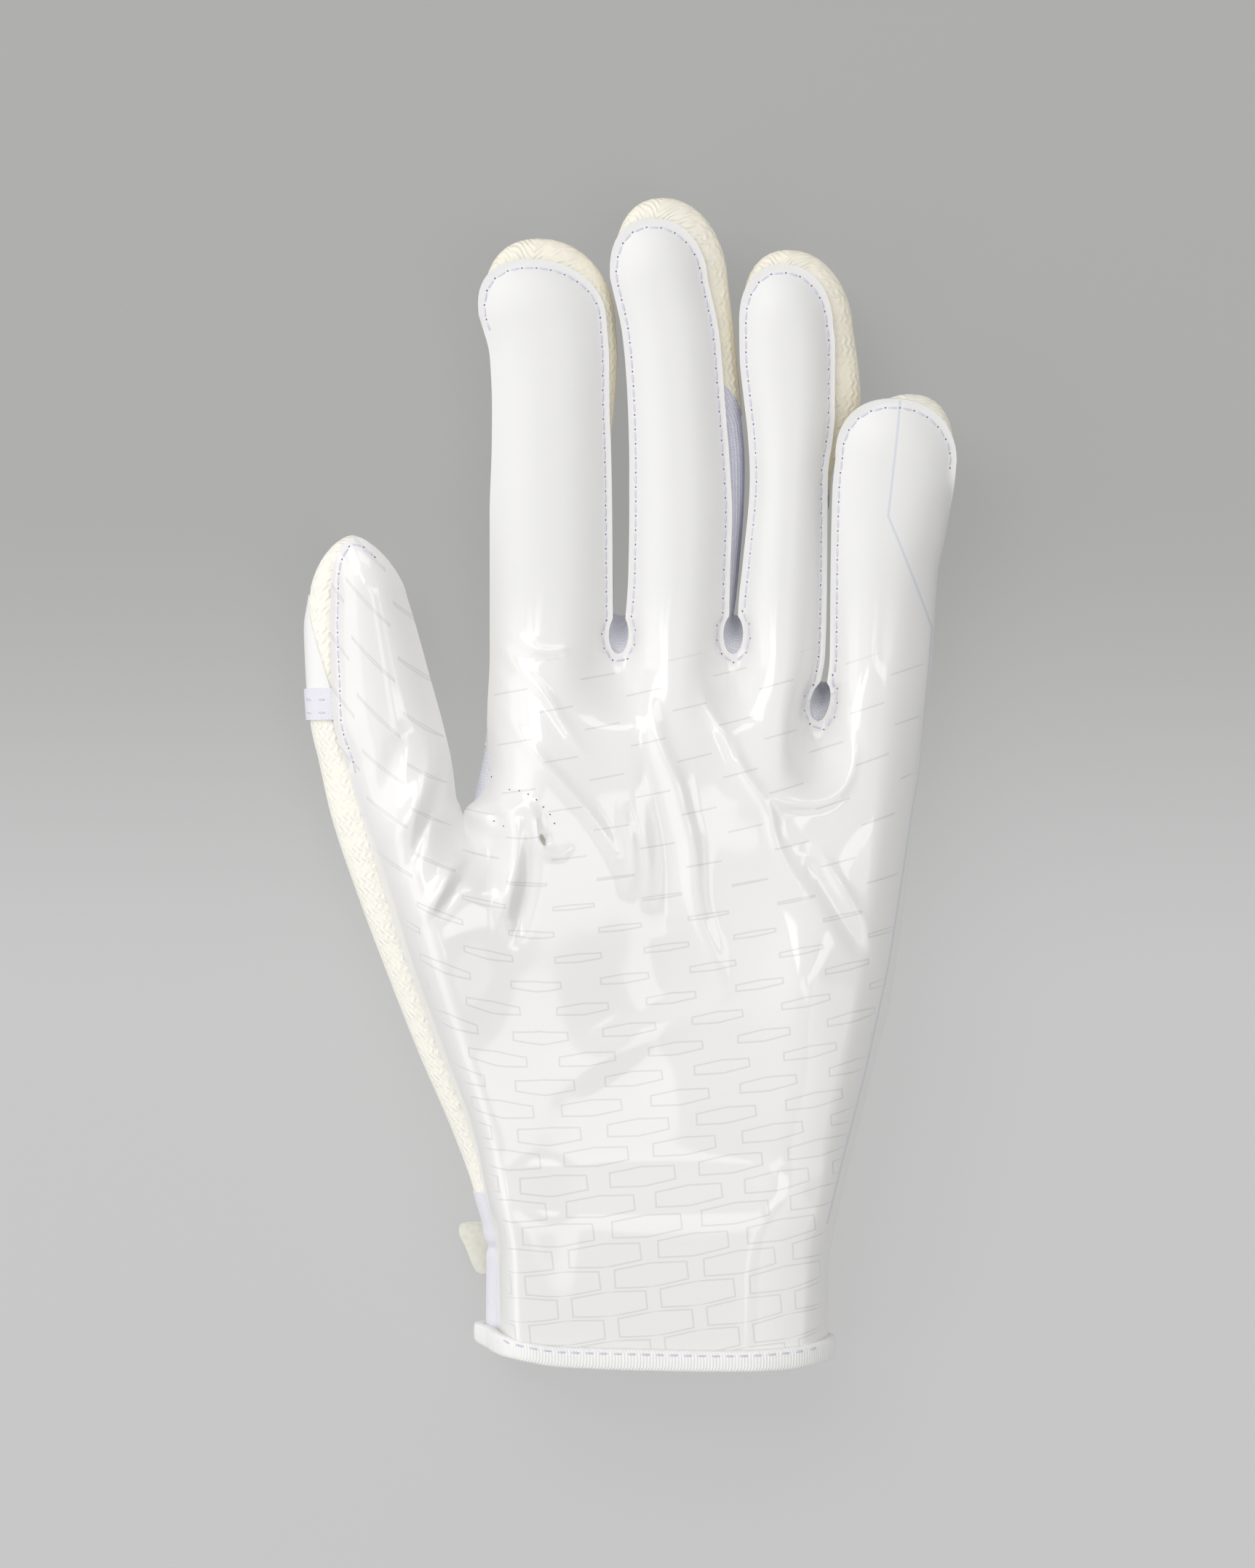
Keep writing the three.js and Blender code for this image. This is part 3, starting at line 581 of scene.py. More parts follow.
def palmGrid(name, across, places):
    # flat at its cut edges, then a rounded rise to the crown
    q = np.asarray(across, float)
    rows, edges, crowns, swells = [], [], [], []
    for place in places:
        left = outlinePoint(name, -1, place)
        right = outlinePoint(name, 1, place)
        y = left[1]
        x = mix(left[0], right[0], (q + 1) / 2)
        plainLeft, plainRight = section(name, y, "palmLeft"), section(name, y, "palmRight")
        if place[1] == 0:
            straight = palmPiece["straight"]
            near = np.clip((np.abs(q) - straight) / (1 - straight), 0, 1) ** 2
            shift = np.where(q < 0, left[0] - plainLeft, right[0] - plainRight)
            x = mix(plainLeft, plainRight, (q + 1) / 2) + near * shift
        capWidth = 1 if place[1] == 0 else tipWidth(name, place[1])
        reach = np.sqrt(place[1] ** 2 + (q * capWidth) ** 2)
        half = (plainRight - plainLeft) / 2
        rims = [palmRim(name, side, place, y) for side in (-1, 1)]
        lay, own, flange, wrap, soft = (np.where(q < 0, *pair) for pair in zip(*rims))
        if place[1] > 0:
            lay, flange = (mix(rims[0][k], rims[1][k], (q + 1) / 2) for k in (0, 2))
        edge = acrossHand(name, y, x, seamHeight, "crotch") + lay
        inward = np.clip((half * (1 - reach) - flange) / (half * palmPiece["crownReach"] - flange), 0, 1)
        inward = inward * inward / (inward + soft + palmPiece["tiny"]) * (1 + soft)
        turned = np.sqrt(1 - (1 - inward) ** 2)
        gentle = 1 - (1 - inward) ** palmPiece["softPower"]
        rise = mix(mix(gentle, turned, palmPiece["roundShare"]), turned, wrap)
        rows.append(np.stack([x, np.full(len(q), y), np.zeros(len(q))], -1))
        edges.append(edge)
        crowns.append(acrossHand(name, y, x, crownHeight, "crotch"))
        swells.append(1 - own * (1 - rise))
    grid = np.array(rows)
    top = np.array(crowns) + relief(grid[..., 0], grid[..., 1])
    grid[..., 2] = mix(np.array(edges), top, np.array(swells))
    grid[..., 1] += np.vectorize(hemShift)(grid[..., 0], grid[..., 1])
    return grid


def backGrid(name, across, places):
    rows = []
    for place in places:
        row = []
        for q in across:
            side = -1 if q < 0 else 1
            angle = mix(90, rimAngle(name, side, place), abs(q))
            point = wallPoint(name, side, place, angle)
            if place[1] == 0 and gapBeside(name, side):
                share = ownShare(name, side, place[0], "webCrotch")
                left = section(name, place[0], "wallLeft")
                right = section(name, place[0], "wallRight")
                point[0] = mix(mix(left, right, (q + 1) / 2), point[0], share)
                level = acrossHand(name, place[0], np.array([point[0]]), baseHeight, "webCrotch")[0]
                point[2] = mix(level, point[2], share * share)
            point[1] += hemShift(point[0], point[1])
            row.append(point)
        rows.append(row)
    return np.array(rows)


def levelsUpTo(start, stop):
    levels = [float(start)]
    while True:
        folded = build["foldLow"] < levels[-1] < build["foldHigh"]
        step = build["foldStep" if folded else "plainStep"]
        if levels[-1] + step * build["longestStep"] > stop:
            return levels + [float(stop)]
        levels.append(levels[-1] + step)


def sharedLevels(crotches):
    # levels from the hem up, which also hold every crotch
    levels = [build["panelEnd"]]
    for stop in sorted(set(crotches)):
        levels += levelsUpTo(levels[-1], stop)[1:]
    return [round(float(y), 4) for y in levels]


def placesBelow(levels, crotch):
    return [(y, 0) for y in levels if y <= crotch + build["levelSlack"]]


def keyholeLevels(name):
    levels = []
    for side in (-1, 1):
        gap = gapBeside(name, side)
        if gap and gap["keyhole"] is not None:
            turns = np.linspace(0, math.pi, build["keyholeRows"])
            levels += [gap["keyhole"] - build["keyholeHalfHeight"] * math.cos(turn) for turn in turns]
    return levels


def placesOf(name, levels, crotch, piece):
    # the levels shared by the strips of the hand, then the digit's own ones and its round end
    start, capRows = capStart(name), piece["capRows"]
    places = placesBelow(levels, crotch)
    own = levelsUpTo(crotch, start)[1:-1] + (keyholeLevels(name) if piece["keyholes"] else [])
    kept = crotch
    for y in sorted(own):
        if kept + build["closestRows"] < y < start - build["lastRowGap"]:
            places.append((float(y), 0))
            kept = y
    places.append((start, 0))
    power = digits[name]["tipPower"]
    end = (1 - piece["endWidth"] ** power) ** (1 / power)
    shares = [math.sin(math.pi / 2 * step / capRows) for step in range(1, capRows + 1)]
    return places + [(start, end * share) for share in shares]


def handGrids(gridOf, crotchKey, piece):
    # one grid per strip, and one for each join of two strips
    across = list(np.linspace(-1, 1, piece["columns"]))
    levels = sharedLevels([digits[name][crotchKey] for name in order])
    grids = [gridOf(name, across, placesOf(name, levels, digits[name][crotchKey], piece)) for name in order]
    for gap in gaps:
        places = placesBelow(levels, gap[crotchKey])
        left = gridOf(gap["left"], [1], places)
        right = gridOf(gap["right"], [-1], places)
        grids.append(np.concatenate([left, right], axis=1))
    return grids


def linkObject(name, data):
    made = bpy.data.objects.new(name, data)
    bpy.context.scene.collection.objects.link(made)
    return made


def cleanMesh(mesh, distance, closed):
    # joins doubled points, and turns the faces of a closed shape outwards
    shape = bmesh.new()
    shape.from_mesh(mesh)
    bmesh.ops.remove_doubles(shape, verts=shape.verts, dist=distance)
    if closed:
        bmesh.ops.recalc_face_normals(shape, faces=shape.faces)
    shape.to_mesh(mesh)
    shape.free()


def finishPiece(piece, sharpAngle):
    for other in bpy.context.selected_objects:
        other.select_set(False)
    piece.select_set(True)
    bpy.context.view_layer.objects.active = piece
    for modifier in list(piece.modifiers):
        bpy.ops.object.modifier_apply(modifier=modifier.name)
    bpy.ops.object.shade_smooth_by_angle(angle=math.radians(sharpAngle))
    piece.select_set(False)


def sewSheet(name, grids, turned=False, thickness=0.0, closed=False):
    # joins grids of points into one sheet, with a map of true lengths, and gives it its wall
    points, lengths, faces = [], [], []
    first = 0
    for grid in grids:
        rows, columns = grid.shape[:2]
        across = np.zeros((rows, columns))
        across[:, 1:] = np.cumsum(np.linalg.norm(np.diff(grid, axis=1), axis=-1), axis=1)
        middle = columns // 2
        across -= across[:, middle:middle + 1]
        along = pathLengths(grid[:, middle])
        points.append(grid.reshape(-1, 3))
        lengths.append(np.stack([across, np.repeat(along[:, None], columns, 1)], -1).reshape(-1, 2))
        index = first + np.arange(rows * columns).reshape(rows, columns)
        quads = np.stack([index[:-1, :-1], index[:-1, 1:], index[1:, 1:], index[1:, :-1]], -1)
        quads = quads.reshape(-1, 4)
        faces.append(quads[:, ::-1] if turned else quads)
        first += rows * columns
    mesh = bpy.data.meshes.new(name)
    placed = (np.concatenate(points) + frameShift) * mm
    mesh.from_pydata(placed.tolist(), [], np.concatenate(faces).tolist())
    layer = mesh.uv_layers.new(name="lengths")
    corners = np.zeros(len(mesh.loops), np.int64)
    mesh.loops.foreach_get("vertex_index", corners)
    layer.data.foreach_set("uv", np.concatenate(lengths)[corners].ravel().astype(np.float32))
    cleanMesh(mesh, build["mergeDistance"] * mm, closed)
    piece = linkObject(name, mesh)
    if thickness:
        wall = piece.modifiers.new("wall", "SOLIDIFY")
        wall.thickness = thickness * mm
        wall.offset = -1
    finishPiece(piece, build["sharpAngle"])
    return piece


def standIn(piece, node, look):
    piece.data.materials.clear()
    piece.data.materials.append(look)
    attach(piece, "root")
    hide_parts(node)


def makePalm(look):
    grids = handGrids(palmGrid, "crotch", palmPiece)
    palm = sewSheet("palm_panel", grids, thickness=build["palmThickness"])
    standIn(palm, "palm", look)
    return palm


backPiece = dict(columns=35, capRows=10, endWidth=0, keyholes=False)


def makeBack(look):
    grids = handGrids(backGrid, "webCrotch", backPiece)
    back = sewSheet("knit_back", grids, turned=True, thickness=build["backThickness"])
    standIn(back, "back", look)
    return back


wallPiece = dict(levels=46, levelPower=1.6, columns=15, under=0.3, topShare=0.95, overlap=4, tuck=2)


def makeSideWall(node, gap, look):
    # mesh wall in a gap: down one digit, round the crotch and up the next
    lowest = gap["webCrotch"] + build["pieceGap"] * 2 + build["meshThickness"]
    levelTop = mix(gap["meshStart"], gap["knitEnd"], wallPiece["topShare"])
    steps = wallPiece["levels"]
    shares = [(step / steps) ** wallPiece["levelPower"] for step in range(steps, 0, -1)]
    walk = [(1, share) for share in shares] + [(1, 0)] + [(-1, share) for share in reversed(shares)]
    rows = []
    for side, share in walk:
        digit = gap["left"] if side > 0 else gap["right"]
        row = []
        for up in np.linspace(0, 1, wallPiece["columns"]):
            bottom = mix(lowest, gap["crotch"] - build["seamSeat"], up)
            y = mix(bottom, levelTop, share)
            held = max(y, gap["webCrotch"])
            under = rimAngle(digit, side, (held, 0)) + wallPiece["overlap"]
            angle = mix(under, build["lipTop"] + wallPiece["tuck"], up)
            x, _, z = wallPoint(digit, side, (held, 0), angle)
            centre = (section(gap["left"], held, "wallRight") + section(gap["right"], held, "wallLeft")) / 2
            apart = max(abs(x - centre), up * (keyholeHalf(gap, y) + build["seamSeat"]))
            apart += wallPiece["under"]
            fall = clamp((bottom + build["webRound"] - y) / build["webRound"], 0, 1)
            row.append([centre - side * apart * math.sqrt(1 - fall * fall), y, z])
        rows.append(row)
    wall = sewSheet("mesh_" + node, [np.array(rows)], thickness=build["meshThickness"])
    standIn(wall, node, look)


# Covers on the thumb's outer side, from an angle below up to a line over the edge
thumbFilm = dict(low=17.6, high=36.4, rows=24, under=55, columns=18, lay=0.3, thickness=0.8, reach=4.9)
thumbTape = dict(low=12.3, high=18.3, rows=14, under=70, columns=30, lay=0.75, thickness=1.2, over=-80)
wristStrip = dict(low=-104.5, high=-78.9, rows=54, under=36, columns=22, lay=0.25, thickness=1.0,
                  creaseAt=-89.0, creaseWidth=0.8, creaseDepth=0.5, ridgeAt=2.5, ridgeHeight=0.25,
                  ridgeSharpness=0.45)


def sidePoint(y, angle, lay):
    # a point on the thumb's outer side, or on the hand below it, laid off that surface
    x, _, z = wallPoint("thumb", -1, (float(y), 0), float(angle))
    turn = math.radians(angle)
    return x - lay * math.cos(turn), z - lay * math.sin(turn)


def coverGrid(cover, upperOf, rippleOf=lambda y: 0):
    rows = []
    for y in np.linspace(cover["low"], cover["high"], cover["rows"]):
        row = []
        for angle in np.linspace(cover["under"], upperOf(y), cover["columns"]):
            x, z = sidePoint(y, angle, cover["lay"] + rippleOf(y))
            row.append([x, y + hemShift(x, y), z])
        rows.append(row)
    return np.array(rows)


def makeThumbTrim(filmLook, tapeLook):
    def filmLine(y):
        # the film is widest at the tape and ends at the silhouette
        inner = outlinePoint("thumb", -1, (y, 0), inset=build["seamSeat"])[0]
        outer = outlinePoint("thumb", -1, (y, 0), wall=True)[0]
        wide = thumbFilm["reach"] * (thumbFilm["high"] - y) / (thumbFilm["high"] - thumbFilm["low"])
        return -math.degrees(math.acos(clamp(1 - wide / (inner - outer), 0, 1)))

    film = sewSheet("thumb_film", [coverGrid(thumbFilm, filmLine)], thickness=thumbFilm["thickness"])
    standIn(film, "thumb_patch", filmLook)
    grid = coverGrid(thumbTape, lambda y: thumbTape["over"])
    tape = sewSheet("thumb_band", [grid], thickness=thumbTape["thickness"])
    standIn(tape, "thumb_tape", tapeLook)


def makeWristStrip(look):
    def ripple(y):
        # one crease across the strip, with a low ridge beside it
        down = (y - wristStrip["creaseAt"]) / wristStrip["creaseWidth"]
        crease = wristStrip["creaseDepth"] * math.exp(-down * down)
        beside = (down - wristStrip["ridgeAt"]) ** 2 * wristStrip["ridgeSharpness"]
        return wristStrip["ridgeHeight"] * math.exp(-beside) - crease

    grid = coverGrid(wristStrip, lambda y: build["lipTop"], ripple)
    strip = sewSheet("wrist_band", [grid], thickness=wristStrip["thickness"])
    standIn(strip, "wrist_strip", look)


tabPiece = dict(rows=26, under=88, over=52, columns=8, outColumns=6, firstOut=0.2, rise=0.9)
tabOutline = table("y reach", [
    (-96.0, -26.6),
    (-95.4, -29.2),
    (-94.0, -30.2),
    (-90.5, -31.6),
    (-87.0, -33.0),
    (-86.0, -32.9),
    (-85.4, -31.4),
])


def makePullTab(look):
    lay = build["strapThickness"] + build["pieceGap"] * 2
    rows = []
    for y in np.linspace(tabOutline[0]["y"], tabOutline[-1]["y"], tabPiece["rows"]):
        reach = read(tabOutline, "y", y, "reach")
        row = []
        for angle in np.linspace(tabPiece["under"], tabPiece["over"], tabPiece["columns"]):
            x, z = sidePoint(y, angle, lay)
            row.append([x, y, z])
        lastX, _, lastZ = row[-1]
        for share in np.linspace(tabPiece["firstOut"], 1, tabPiece["outColumns"]):
            up = tabPiece["rise"] * math.sin(share * math.pi / 2)
            row.append([mix(lastX, reach, share), y, lastZ + up])
        rows.append(row)
    tab = sewSheet("suede_tab", [np.array(rows)], thickness=build["strapThickness"])
    standIn(tab, "pull_tab", look)


bindingPiece = dict(
    around=220,
    profile=18,
    columns=25,
    sideAngles=(28, -80, 14),
    outer=0.95,
    squareness=0.5,
    soften=9,
    leftCorner=1.9,
    leftReach=(-27, -18),
    rightCorner=0.6,
    rightReach=(33, 38),
)


def wristSection():
    # the outer line of the wrist at the hem: over the palm, down the outer edge, back below
    place = (build["panelEnd"], 0)
    across = np.linspace(-1, 1, bindingPiece["columns"])
    upper = [palmGrid(name, across, [place])[0] for name in order]
    lower = [backGrid(name, -across, [place])[0] for name in reversed(order)]
    side = [wallPoint("thumb", -1, place, angle) for angle in np.linspace(*bindingPiece["sideAngles"])]
    line = np.concatenate([*upper, *lower, np.array(side)])[:, [0, 2]]
    closed = np.vstack([line, line[:1]])
    lengths = pathLengths(closed)
    count = bindingPiece["around"]
    at = np.arange(count) / count * lengths[-1]
    even = np.stack([np.interp(at, lengths, closed[:, axis]) for axis in (0, 1)], -1)
    reach = bindingPiece["soften"] // 2
    return sum(np.roll(even, step, axis=0) for step in range(-reach, reach + 1)) / (2 * reach + 1)


def makeBinding(look):
    line = wristSection()
    ahead = np.roll(line, -1, axis=0) - np.roll(line, 1, axis=0)
    outward = np.stack([-ahead[:, 1], ahead[:, 0]], -1)
    outward /= np.linalg.norm(outward, axis=1)[:, None]
    half = build["bindingThickness"] / 2
    corner = bindingPiece["leftCorner"] * (1 - smooth(line[:, 0], *bindingPiece["leftReach"]))
    corner += bindingPiece["rightCorner"] * smooth(line[:, 0], *bindingPiece["rightReach"])
    line[:, 0] += outward[:, 0] * corner

    def squared(value):
        return math.copysign(abs(value) ** bindingPiece["squareness"], value)

    loops = []
    for step in range(bindingPiece["profile"] + 1):
        around = 2 * math.pi * step / bindingPiece["profile"]
        grow = bindingPiece["outer"] - half + half * squared(math.cos(around))
        share = 0.5 + 0.5 * squared(math.sin(around))
        loop = []
        for x, z in line + outward * grow:
            loop.append([x, mix(read(hem, "x", x, "top"), read(hem, "x", x, "bottom"), share), z])
        loops.append(loop + loop[:1])
    binding = sewSheet("hem_binding", [np.array(loops)], closed=True)
    standIn(binding, "cuff_binding", look)
    return binding


# Seams: a path over the upper side, and short threads laid along it
seamPiece = dict(
    step=0.5,
    probe=0.4,             # how far ahead and behind the direction is read
    inset=1.25,
    tipInset=1.8,
    thumbInset=1.5,
    thumbTipInset=1.7,
    capPoints=24,
    capEnd=0.9999,
    capStartTurn=0.05,
    thumbTurn=12,          # points that the thumb's seam keeps past its tip
    indexFrom=86.5,
    pinkyFrom=60.5,
    thumbFrom=1.5,
    keyholePoints=22,
    aboveKeyhole=0.2,
    belowHem=1.0,
    hemFrom=-24.5,
    hemTo=37.0,
    bandFrom=-62.8,
    bandTo=-57.6,
    bandLevels=(16.2, 13.7),
    mergeDistance=0.0001,
    sharpAngle=60,
)

stitches = {row["name"]: row for row in table("name length radius pitch shift sunk", [
    ("panel_thread", 1.75, 0.27, 2.75, 0, 0.08),
    # the dark dots between the threads are painted shade in the needle holes
    ("needle_marks", 0.4, 0.2, 2.75, 1.375, 0.09),
    ("hem_thread", 1.7, 0.24, 2.6, 0, 0.08),
    ("crotch_marks", 0.36, 0.15, 1.7, 0, 0.04),
    ("band_thread", 1.5, 0.24, 2.1, 0, 0.08),
])}

# Paths of dark dots by the thumb crotch: painted shade in the stitch holes
crotchMarks = [
    [(-31.2, -4.6), (-27.6, -0.2), (-25.7, 2.0)],
    [(-23.6, -1.0), (-20.0, -1.4), (-17.6, -2.9), (-15.0, -5.6), (-13.6, -8.4)],
    [(-26.7, -6.8), (-24.8, -7.4), (-22.9, -8.7)],
]


def dropPoint(tree, x, y):
    above = Vector(((x + frameShift[0]) * mm, (y + frameShift[1]) * mm, 0.1))
    hit, normal, _, _ = tree.ray_cast(above, Vector((0, 0, -1)))
    return hit, normal


def evenPlaces(path, pitch):
    path = np.array(path)
    lengths = pathLengths(path)
    count = max(2, int(lengths[-1] / pitch))

    def spotAt(at):
        return [np.interp(at, lengths, path[:, axis]) for axis in (0, 1)]

    for at in (np.arange(count) + 0.5) * lengths[-1] / count:
        yield spotAt(at), np.subtract(spotAt(at + seamPiece["probe"]), spotAt(at - seamPiece["probe"]))


capsuleSides = 6
capsuleRings = table("along wide", [(-0.5, 0), (-0.46, 0.6), (-0.3, 1), (0.3, 1), (0.46, 0.6), (0.5, 0)])


def capsule(length, radius):
    # one thread: a rod with rounded ends, along X
    sides = capsuleSides
    points, faces = [], []
    for ring in capsuleRings:
        for side in range(sides):
            turn = 2 * math.pi * side / sides
            wide = radius * ring["wide"]
            points.append((ring["along"] * length, wide * math.cos(turn), wide * math.sin(turn)))
    for ring in range(len(capsuleRings) - 1):
        for side in range(sides):
            a, b = ring * sides + side, ring * sides + (side + 1) % sides
            faces.append((a, b, b + sides, a + sides))
    return np.array(points), np.array(faces)


def sewSeam(name, paths, ground, look):
    stitch = stitches[name]
    template, templateFaces = capsule(stitch["length"], stitch["radius"])
    tree = BVHTree.FromObject(ground, bpy.context.evaluated_depsgraph_get())
    points, faces = [], []
    for path in paths:
        for (x, y), ahead in evenPlaces(path, stitch["pitch"]):
            step = ahead / (np.linalg.norm(ahead) + 1e-9)
            spot, normal = dropPoint(tree, x + step[0] * stitch["shift"], y + step[1] * stitch["shift"])
            if spot is None:
                continue
            along = Vector((step[0], step[1], 0))
            along = (along - normal * along.dot(normal)).normalized()
            turned = np.array([along, normal.cross(along), normal])
            placed = template @ turned * mm + np.array(spot - normal * stitch["sunk"] * mm)
            faces.append(templateFaces + len(template) * len(points))
            points.append(placed)
    mesh = bpy.data.meshes.new(name)
    mesh.from_pydata(np.concatenate(points).tolist(), [], np.concatenate(faces).tolist())
    cleanMesh(mesh, seamPiece["mergeDistance"] * mm, True)
    piece = linkObject(name, mesh)
    piece.data.materials.append(look)
    finishPiece(piece, seamPiece["sharpAngle"])
    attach(piece, "root")


def digitSeam(name, side, fromY, inset, tipInset):
    # one side of a digit, from a level up to the middle of its tip
    start = capStart(name)
    levels = np.arange(fromY, start, seamPiece["step"])
    seam = [outlinePoint(name, side, (y, 0), inset=inset) for y in levels]
    turns = np.linspace(seamPiece["capStartTurn"], math.pi / 2, seamPiece["capPoints"])
    for b in map(float, np.sin(turns)):
        place = (start, min(b, seamPiece["capEnd"]))
        seam.append(outlinePoint(name, side, place, inset=mix(inset, tipInset, b)))
    return seam


def keyholeArc(gap, inset):
    centre = (palmEdge(gap["left"], 1, gap["keyhole"]) + palmEdge(gap["right"], -1, gap["keyhole"])) / 2
    reachX = build["keyholeHalfWidth"] + inset
    reachY = build["keyholeHalfHeight"] + inset
    turns = np.linspace(math.pi, 2 * math.pi, seamPiece["keyholePoints"])
    return [(centre + reachX * math.cos(t), gap["keyhole"] + reachY * math.sin(t)) for t in turns]


def fingerSeams():
    insets = seamPiece["inset"], seamPiece["tipInset"]
    path = digitSeam("index", -1, seamPiece["indexFrom"], *insets)
    for gap in gaps[1:]:
        fromY = gap["keyhole"] + seamPiece["aboveKeyhole"]
        path += reversed(digitSeam(gap["left"], 1, fromY, *insets))
        path += keyholeArc(gap, seamPiece["inset"])
        path += digitSeam(gap["right"], -1, fromY, *insets)
    path += reversed(digitSeam("pinky", 1, seamPiece["pinkyFrom"], *insets))
    insets = seamPiece["thumbInset"], seamPiece["thumbTipInset"]
    thumb = digitSeam("thumb", -1, seamPiece["thumbFrom"], *insets)
    thumb += digitSeam("thumb", 1, capStart("thumb"), *insets)[:-seamPiece["thumbTurn"] - 1:-1]
    return [path, thumb]


def makeSeams(palm, binding, threadLook, holeLook):
    paths = fingerSeams()
    sewSeam("panel_thread", paths, palm, threadLook)
    sewSeam("needle_marks", paths, palm, holeLook)
    hemLine = np.arange(seamPiece["hemFrom"], seamPiece["hemTo"], seamPiece["step"])
    hemPath = [(x, read(hem, "x", x, "top") - seamPiece["belowHem"]) for x in hemLine]
    sewSeam("hem_thread", [hemPath], binding, threadLook)
    sewSeam("crotch_marks", crotchMarks, palm, holeLook)
    bandRows = [[(seamPiece["bandFrom"], y), (seamPiece["bandTo"], y)] for y in seamPiece["bandLevels"]]
    sewSeam("band_thread", bandRows, bpy.data.objects["thumb_band"], threadLook)


# Materials
class Num:
    def __init__(self, look, socket):
        self.look, self.socket = look, socket

    def math(self, operation, *values):
        return self.look.node("ShaderNodeMath", dict(operation=operation), *values)

    def __add__(self, other):
        return self.math("ADD", self, other)

    def __sub__(self, other):
        return self.math("SUBTRACT", self, other)

    def __mul__(self, other):
        return self.math("MULTIPLY", self, other)

    def __truediv__(self, other):
        return self.math("DIVIDE", self, other)

    def __rsub__(self, other):
        return self.math("SUBTRACT", other, self)

    __radd__ = __add__
    __rmul__ = __mul__

    def __abs__(self):
        return self.math("ABSOLUTE", self)

    def swing(self, pitch):
        # a sine of that wavelength, from -1 to 1
        return self.math("SINE", self * (2 * math.pi / pitch))

    def wave(self, pitch):
        # the same from 0 to 1
        return self.swing(pitch) * 0.5 + 0.5

    def floor(self):
        return self.math("FLOOR", self)

    def least(self, other):
        return self.math("MINIMUM", self, other)

    def most(self, other):
        return self.math("MAXIMUM", self, other)

    def power(self, other):
        return self.math("POWER", self, other)

    def between(self, low, high):
        # 0 below the first value, 1 above the second, and a soft step between them
        settings = dict(interpolation_type="SMOOTHSTEP")
        return self.look.node("ShaderNodeMapRange", settings, self, low, high, 0.0, 1.0)


class Look:
    def __init__(self, name, **constants):
        self.material = bpy.data.materials.new(name)
        self.material.use_nodes = True
        self.tree = self.material.node_tree
        self.shader = self.tree.nodes["Principled BSDF"]
        for key, value in constants.items():
            self.shader.inputs[key.replace("_", " ")].default_value = value

    def node(self, kind, settings, *values, output=0, **named):
        node = self.tree.nodes.new(kind)
        for key, value in settings.items():
            setattr(node, key, value)
        for key, value in [*enumerate(values), *named.items()]:
            socket = node.inputs[key.replace("_", " ") if isinstance(key, str) else key]
            if isinstance(value, Num):
                self.tree.links.new(value.socket, socket)
            elif value is not None:
                socket.default_value = value
        return Num(self, node.outputs[output])

    def split(self, vector):
        first = self.node("ShaderNodeSeparateXYZ", {}, vector)
        return [Num(self, socket) for socket in first.socket.node.outputs]

    def place(self):
        # Object coordinates in millimetres
        spot = self.node("ShaderNodeTexCoord", {}, output="Object")
        return [axis * 1000 for axis in self.split(spot)]

    def lengths(self):
        # the piece's own map, in millimetres
        spot = self.node("ShaderNodeUVMap", dict(uv_map="lengths"))
        return self.split(spot)[:2]

    def noise(self, scale, detail=3.0, rough=0.55):
        spot = self.node("ShaderNodeTexCoord", {}, output="Object")
        return self.node("ShaderNodeTexNoise", {}, Vector=spot, Scale=scale, Detail=detail, Roughness=rough)

    def blend(self, share, first, second):
        node = self.tree.nodes.new("ShaderNodeMix")
        node.data_type = "RGBA"
        self.tree.links.new(share.socket, node.inputs[0])
        for socket, value in ((node.inputs[6], first), (node.inputs[7], second)):
            if isinstance(value, Num):
                self.tree.links.new(value.socket, socket)
            else:
                socket.default_value = (*value, 1)
        return Num(self, node.outputs[2])

    def feed(self, key, value):
        self.tree.links.new(value.socket, self.shader.inputs[key])

    def bump(self, height, distance, strength=1.0):
        made = self.node("ShaderNodeBump", {}, Strength=strength, Distance=distance * mm, Height=height)
        self.feed("Normal", made)


siliconeLook = dict(
    white=(0.85, 0.845, 0.835),
    clouded=0.985,                      # its tone where it is a little darker
    cloudScale=18.0,
    clouds=(0.3, 0.7),
    thumbEdge=(-38, -34),
    satin=(0.81, 0.808, 0.80),          # the fingers, which have no gloss
    glossEnds=(24, 38),
    coat=0.85,
    leastCoat=0.08,
    line=(0.50, 0.51, 0.52),
    lineShare=0.38,
    panelTone=(0.58, 0.63, 0.72),
    panelShare=0.6,
    panelEdge=(0.12, 0.34),
    panelPath=[(52.3, 73.1), (50.0, 51.2), (59.0, 30.1), (57.0, 4.0), (55.2, -4.0), (50.4, -34.0),
               (45.6, -56.0), (38.4, -84.0)],
    # a small hole painted on, its inside in a dark tan of painted shade
    eye=(0.50, 0.47, 0.41),
    eyeSpot=(-15.9, -10.6),
    eyeReach=(0.5, 1.0),
    eyeLean=1.1,
    eyeEdge=(0.6, 1.1),
)

# Printed cells: long hexagons at the hem, which shrink to dashes towards the fingers
cells = dict(
    pitchX=17.0, pitchY=4.9,
    startX=14.6, startY=1.8,
    lean=0.09, leanFrom=66.9,           # the columns lean to the left on their way up
    closerFrom=-48, closer=0.045,       # the rows stand closer towards the wrist
    higher=(-25, 10),                   # levels over which the bend of the rows changes
    middle=15, higherMiddle=11,
    leftBow=0.00975, higherLeftBow=0.013, leftBowOver=(-100, -50),
    rightSlope=0.085, higherRightSlope=0.065, rightBow=0.0012,
    higherSink=3.2,
    dashesAt=-14, cellsBelow=81, tilt=0.1, tiltFrom=10, growth=0.8, thumbDepth=0.12,
    halfWidth=3.2, wider=3.9, taller=2.5,
    endSlope=0.2, mostEndSlope=0.095,
    lineHalf=0.15, lineEdge=(0.5, 1.6),
    ends=(21, 28),
    facing=(0.3, 0.65),                 # the print ends where the sides turn down
)


def mixSides(value, left, right):
    share = value.between(-1, 1)
    return share * right + (1 - share) * left


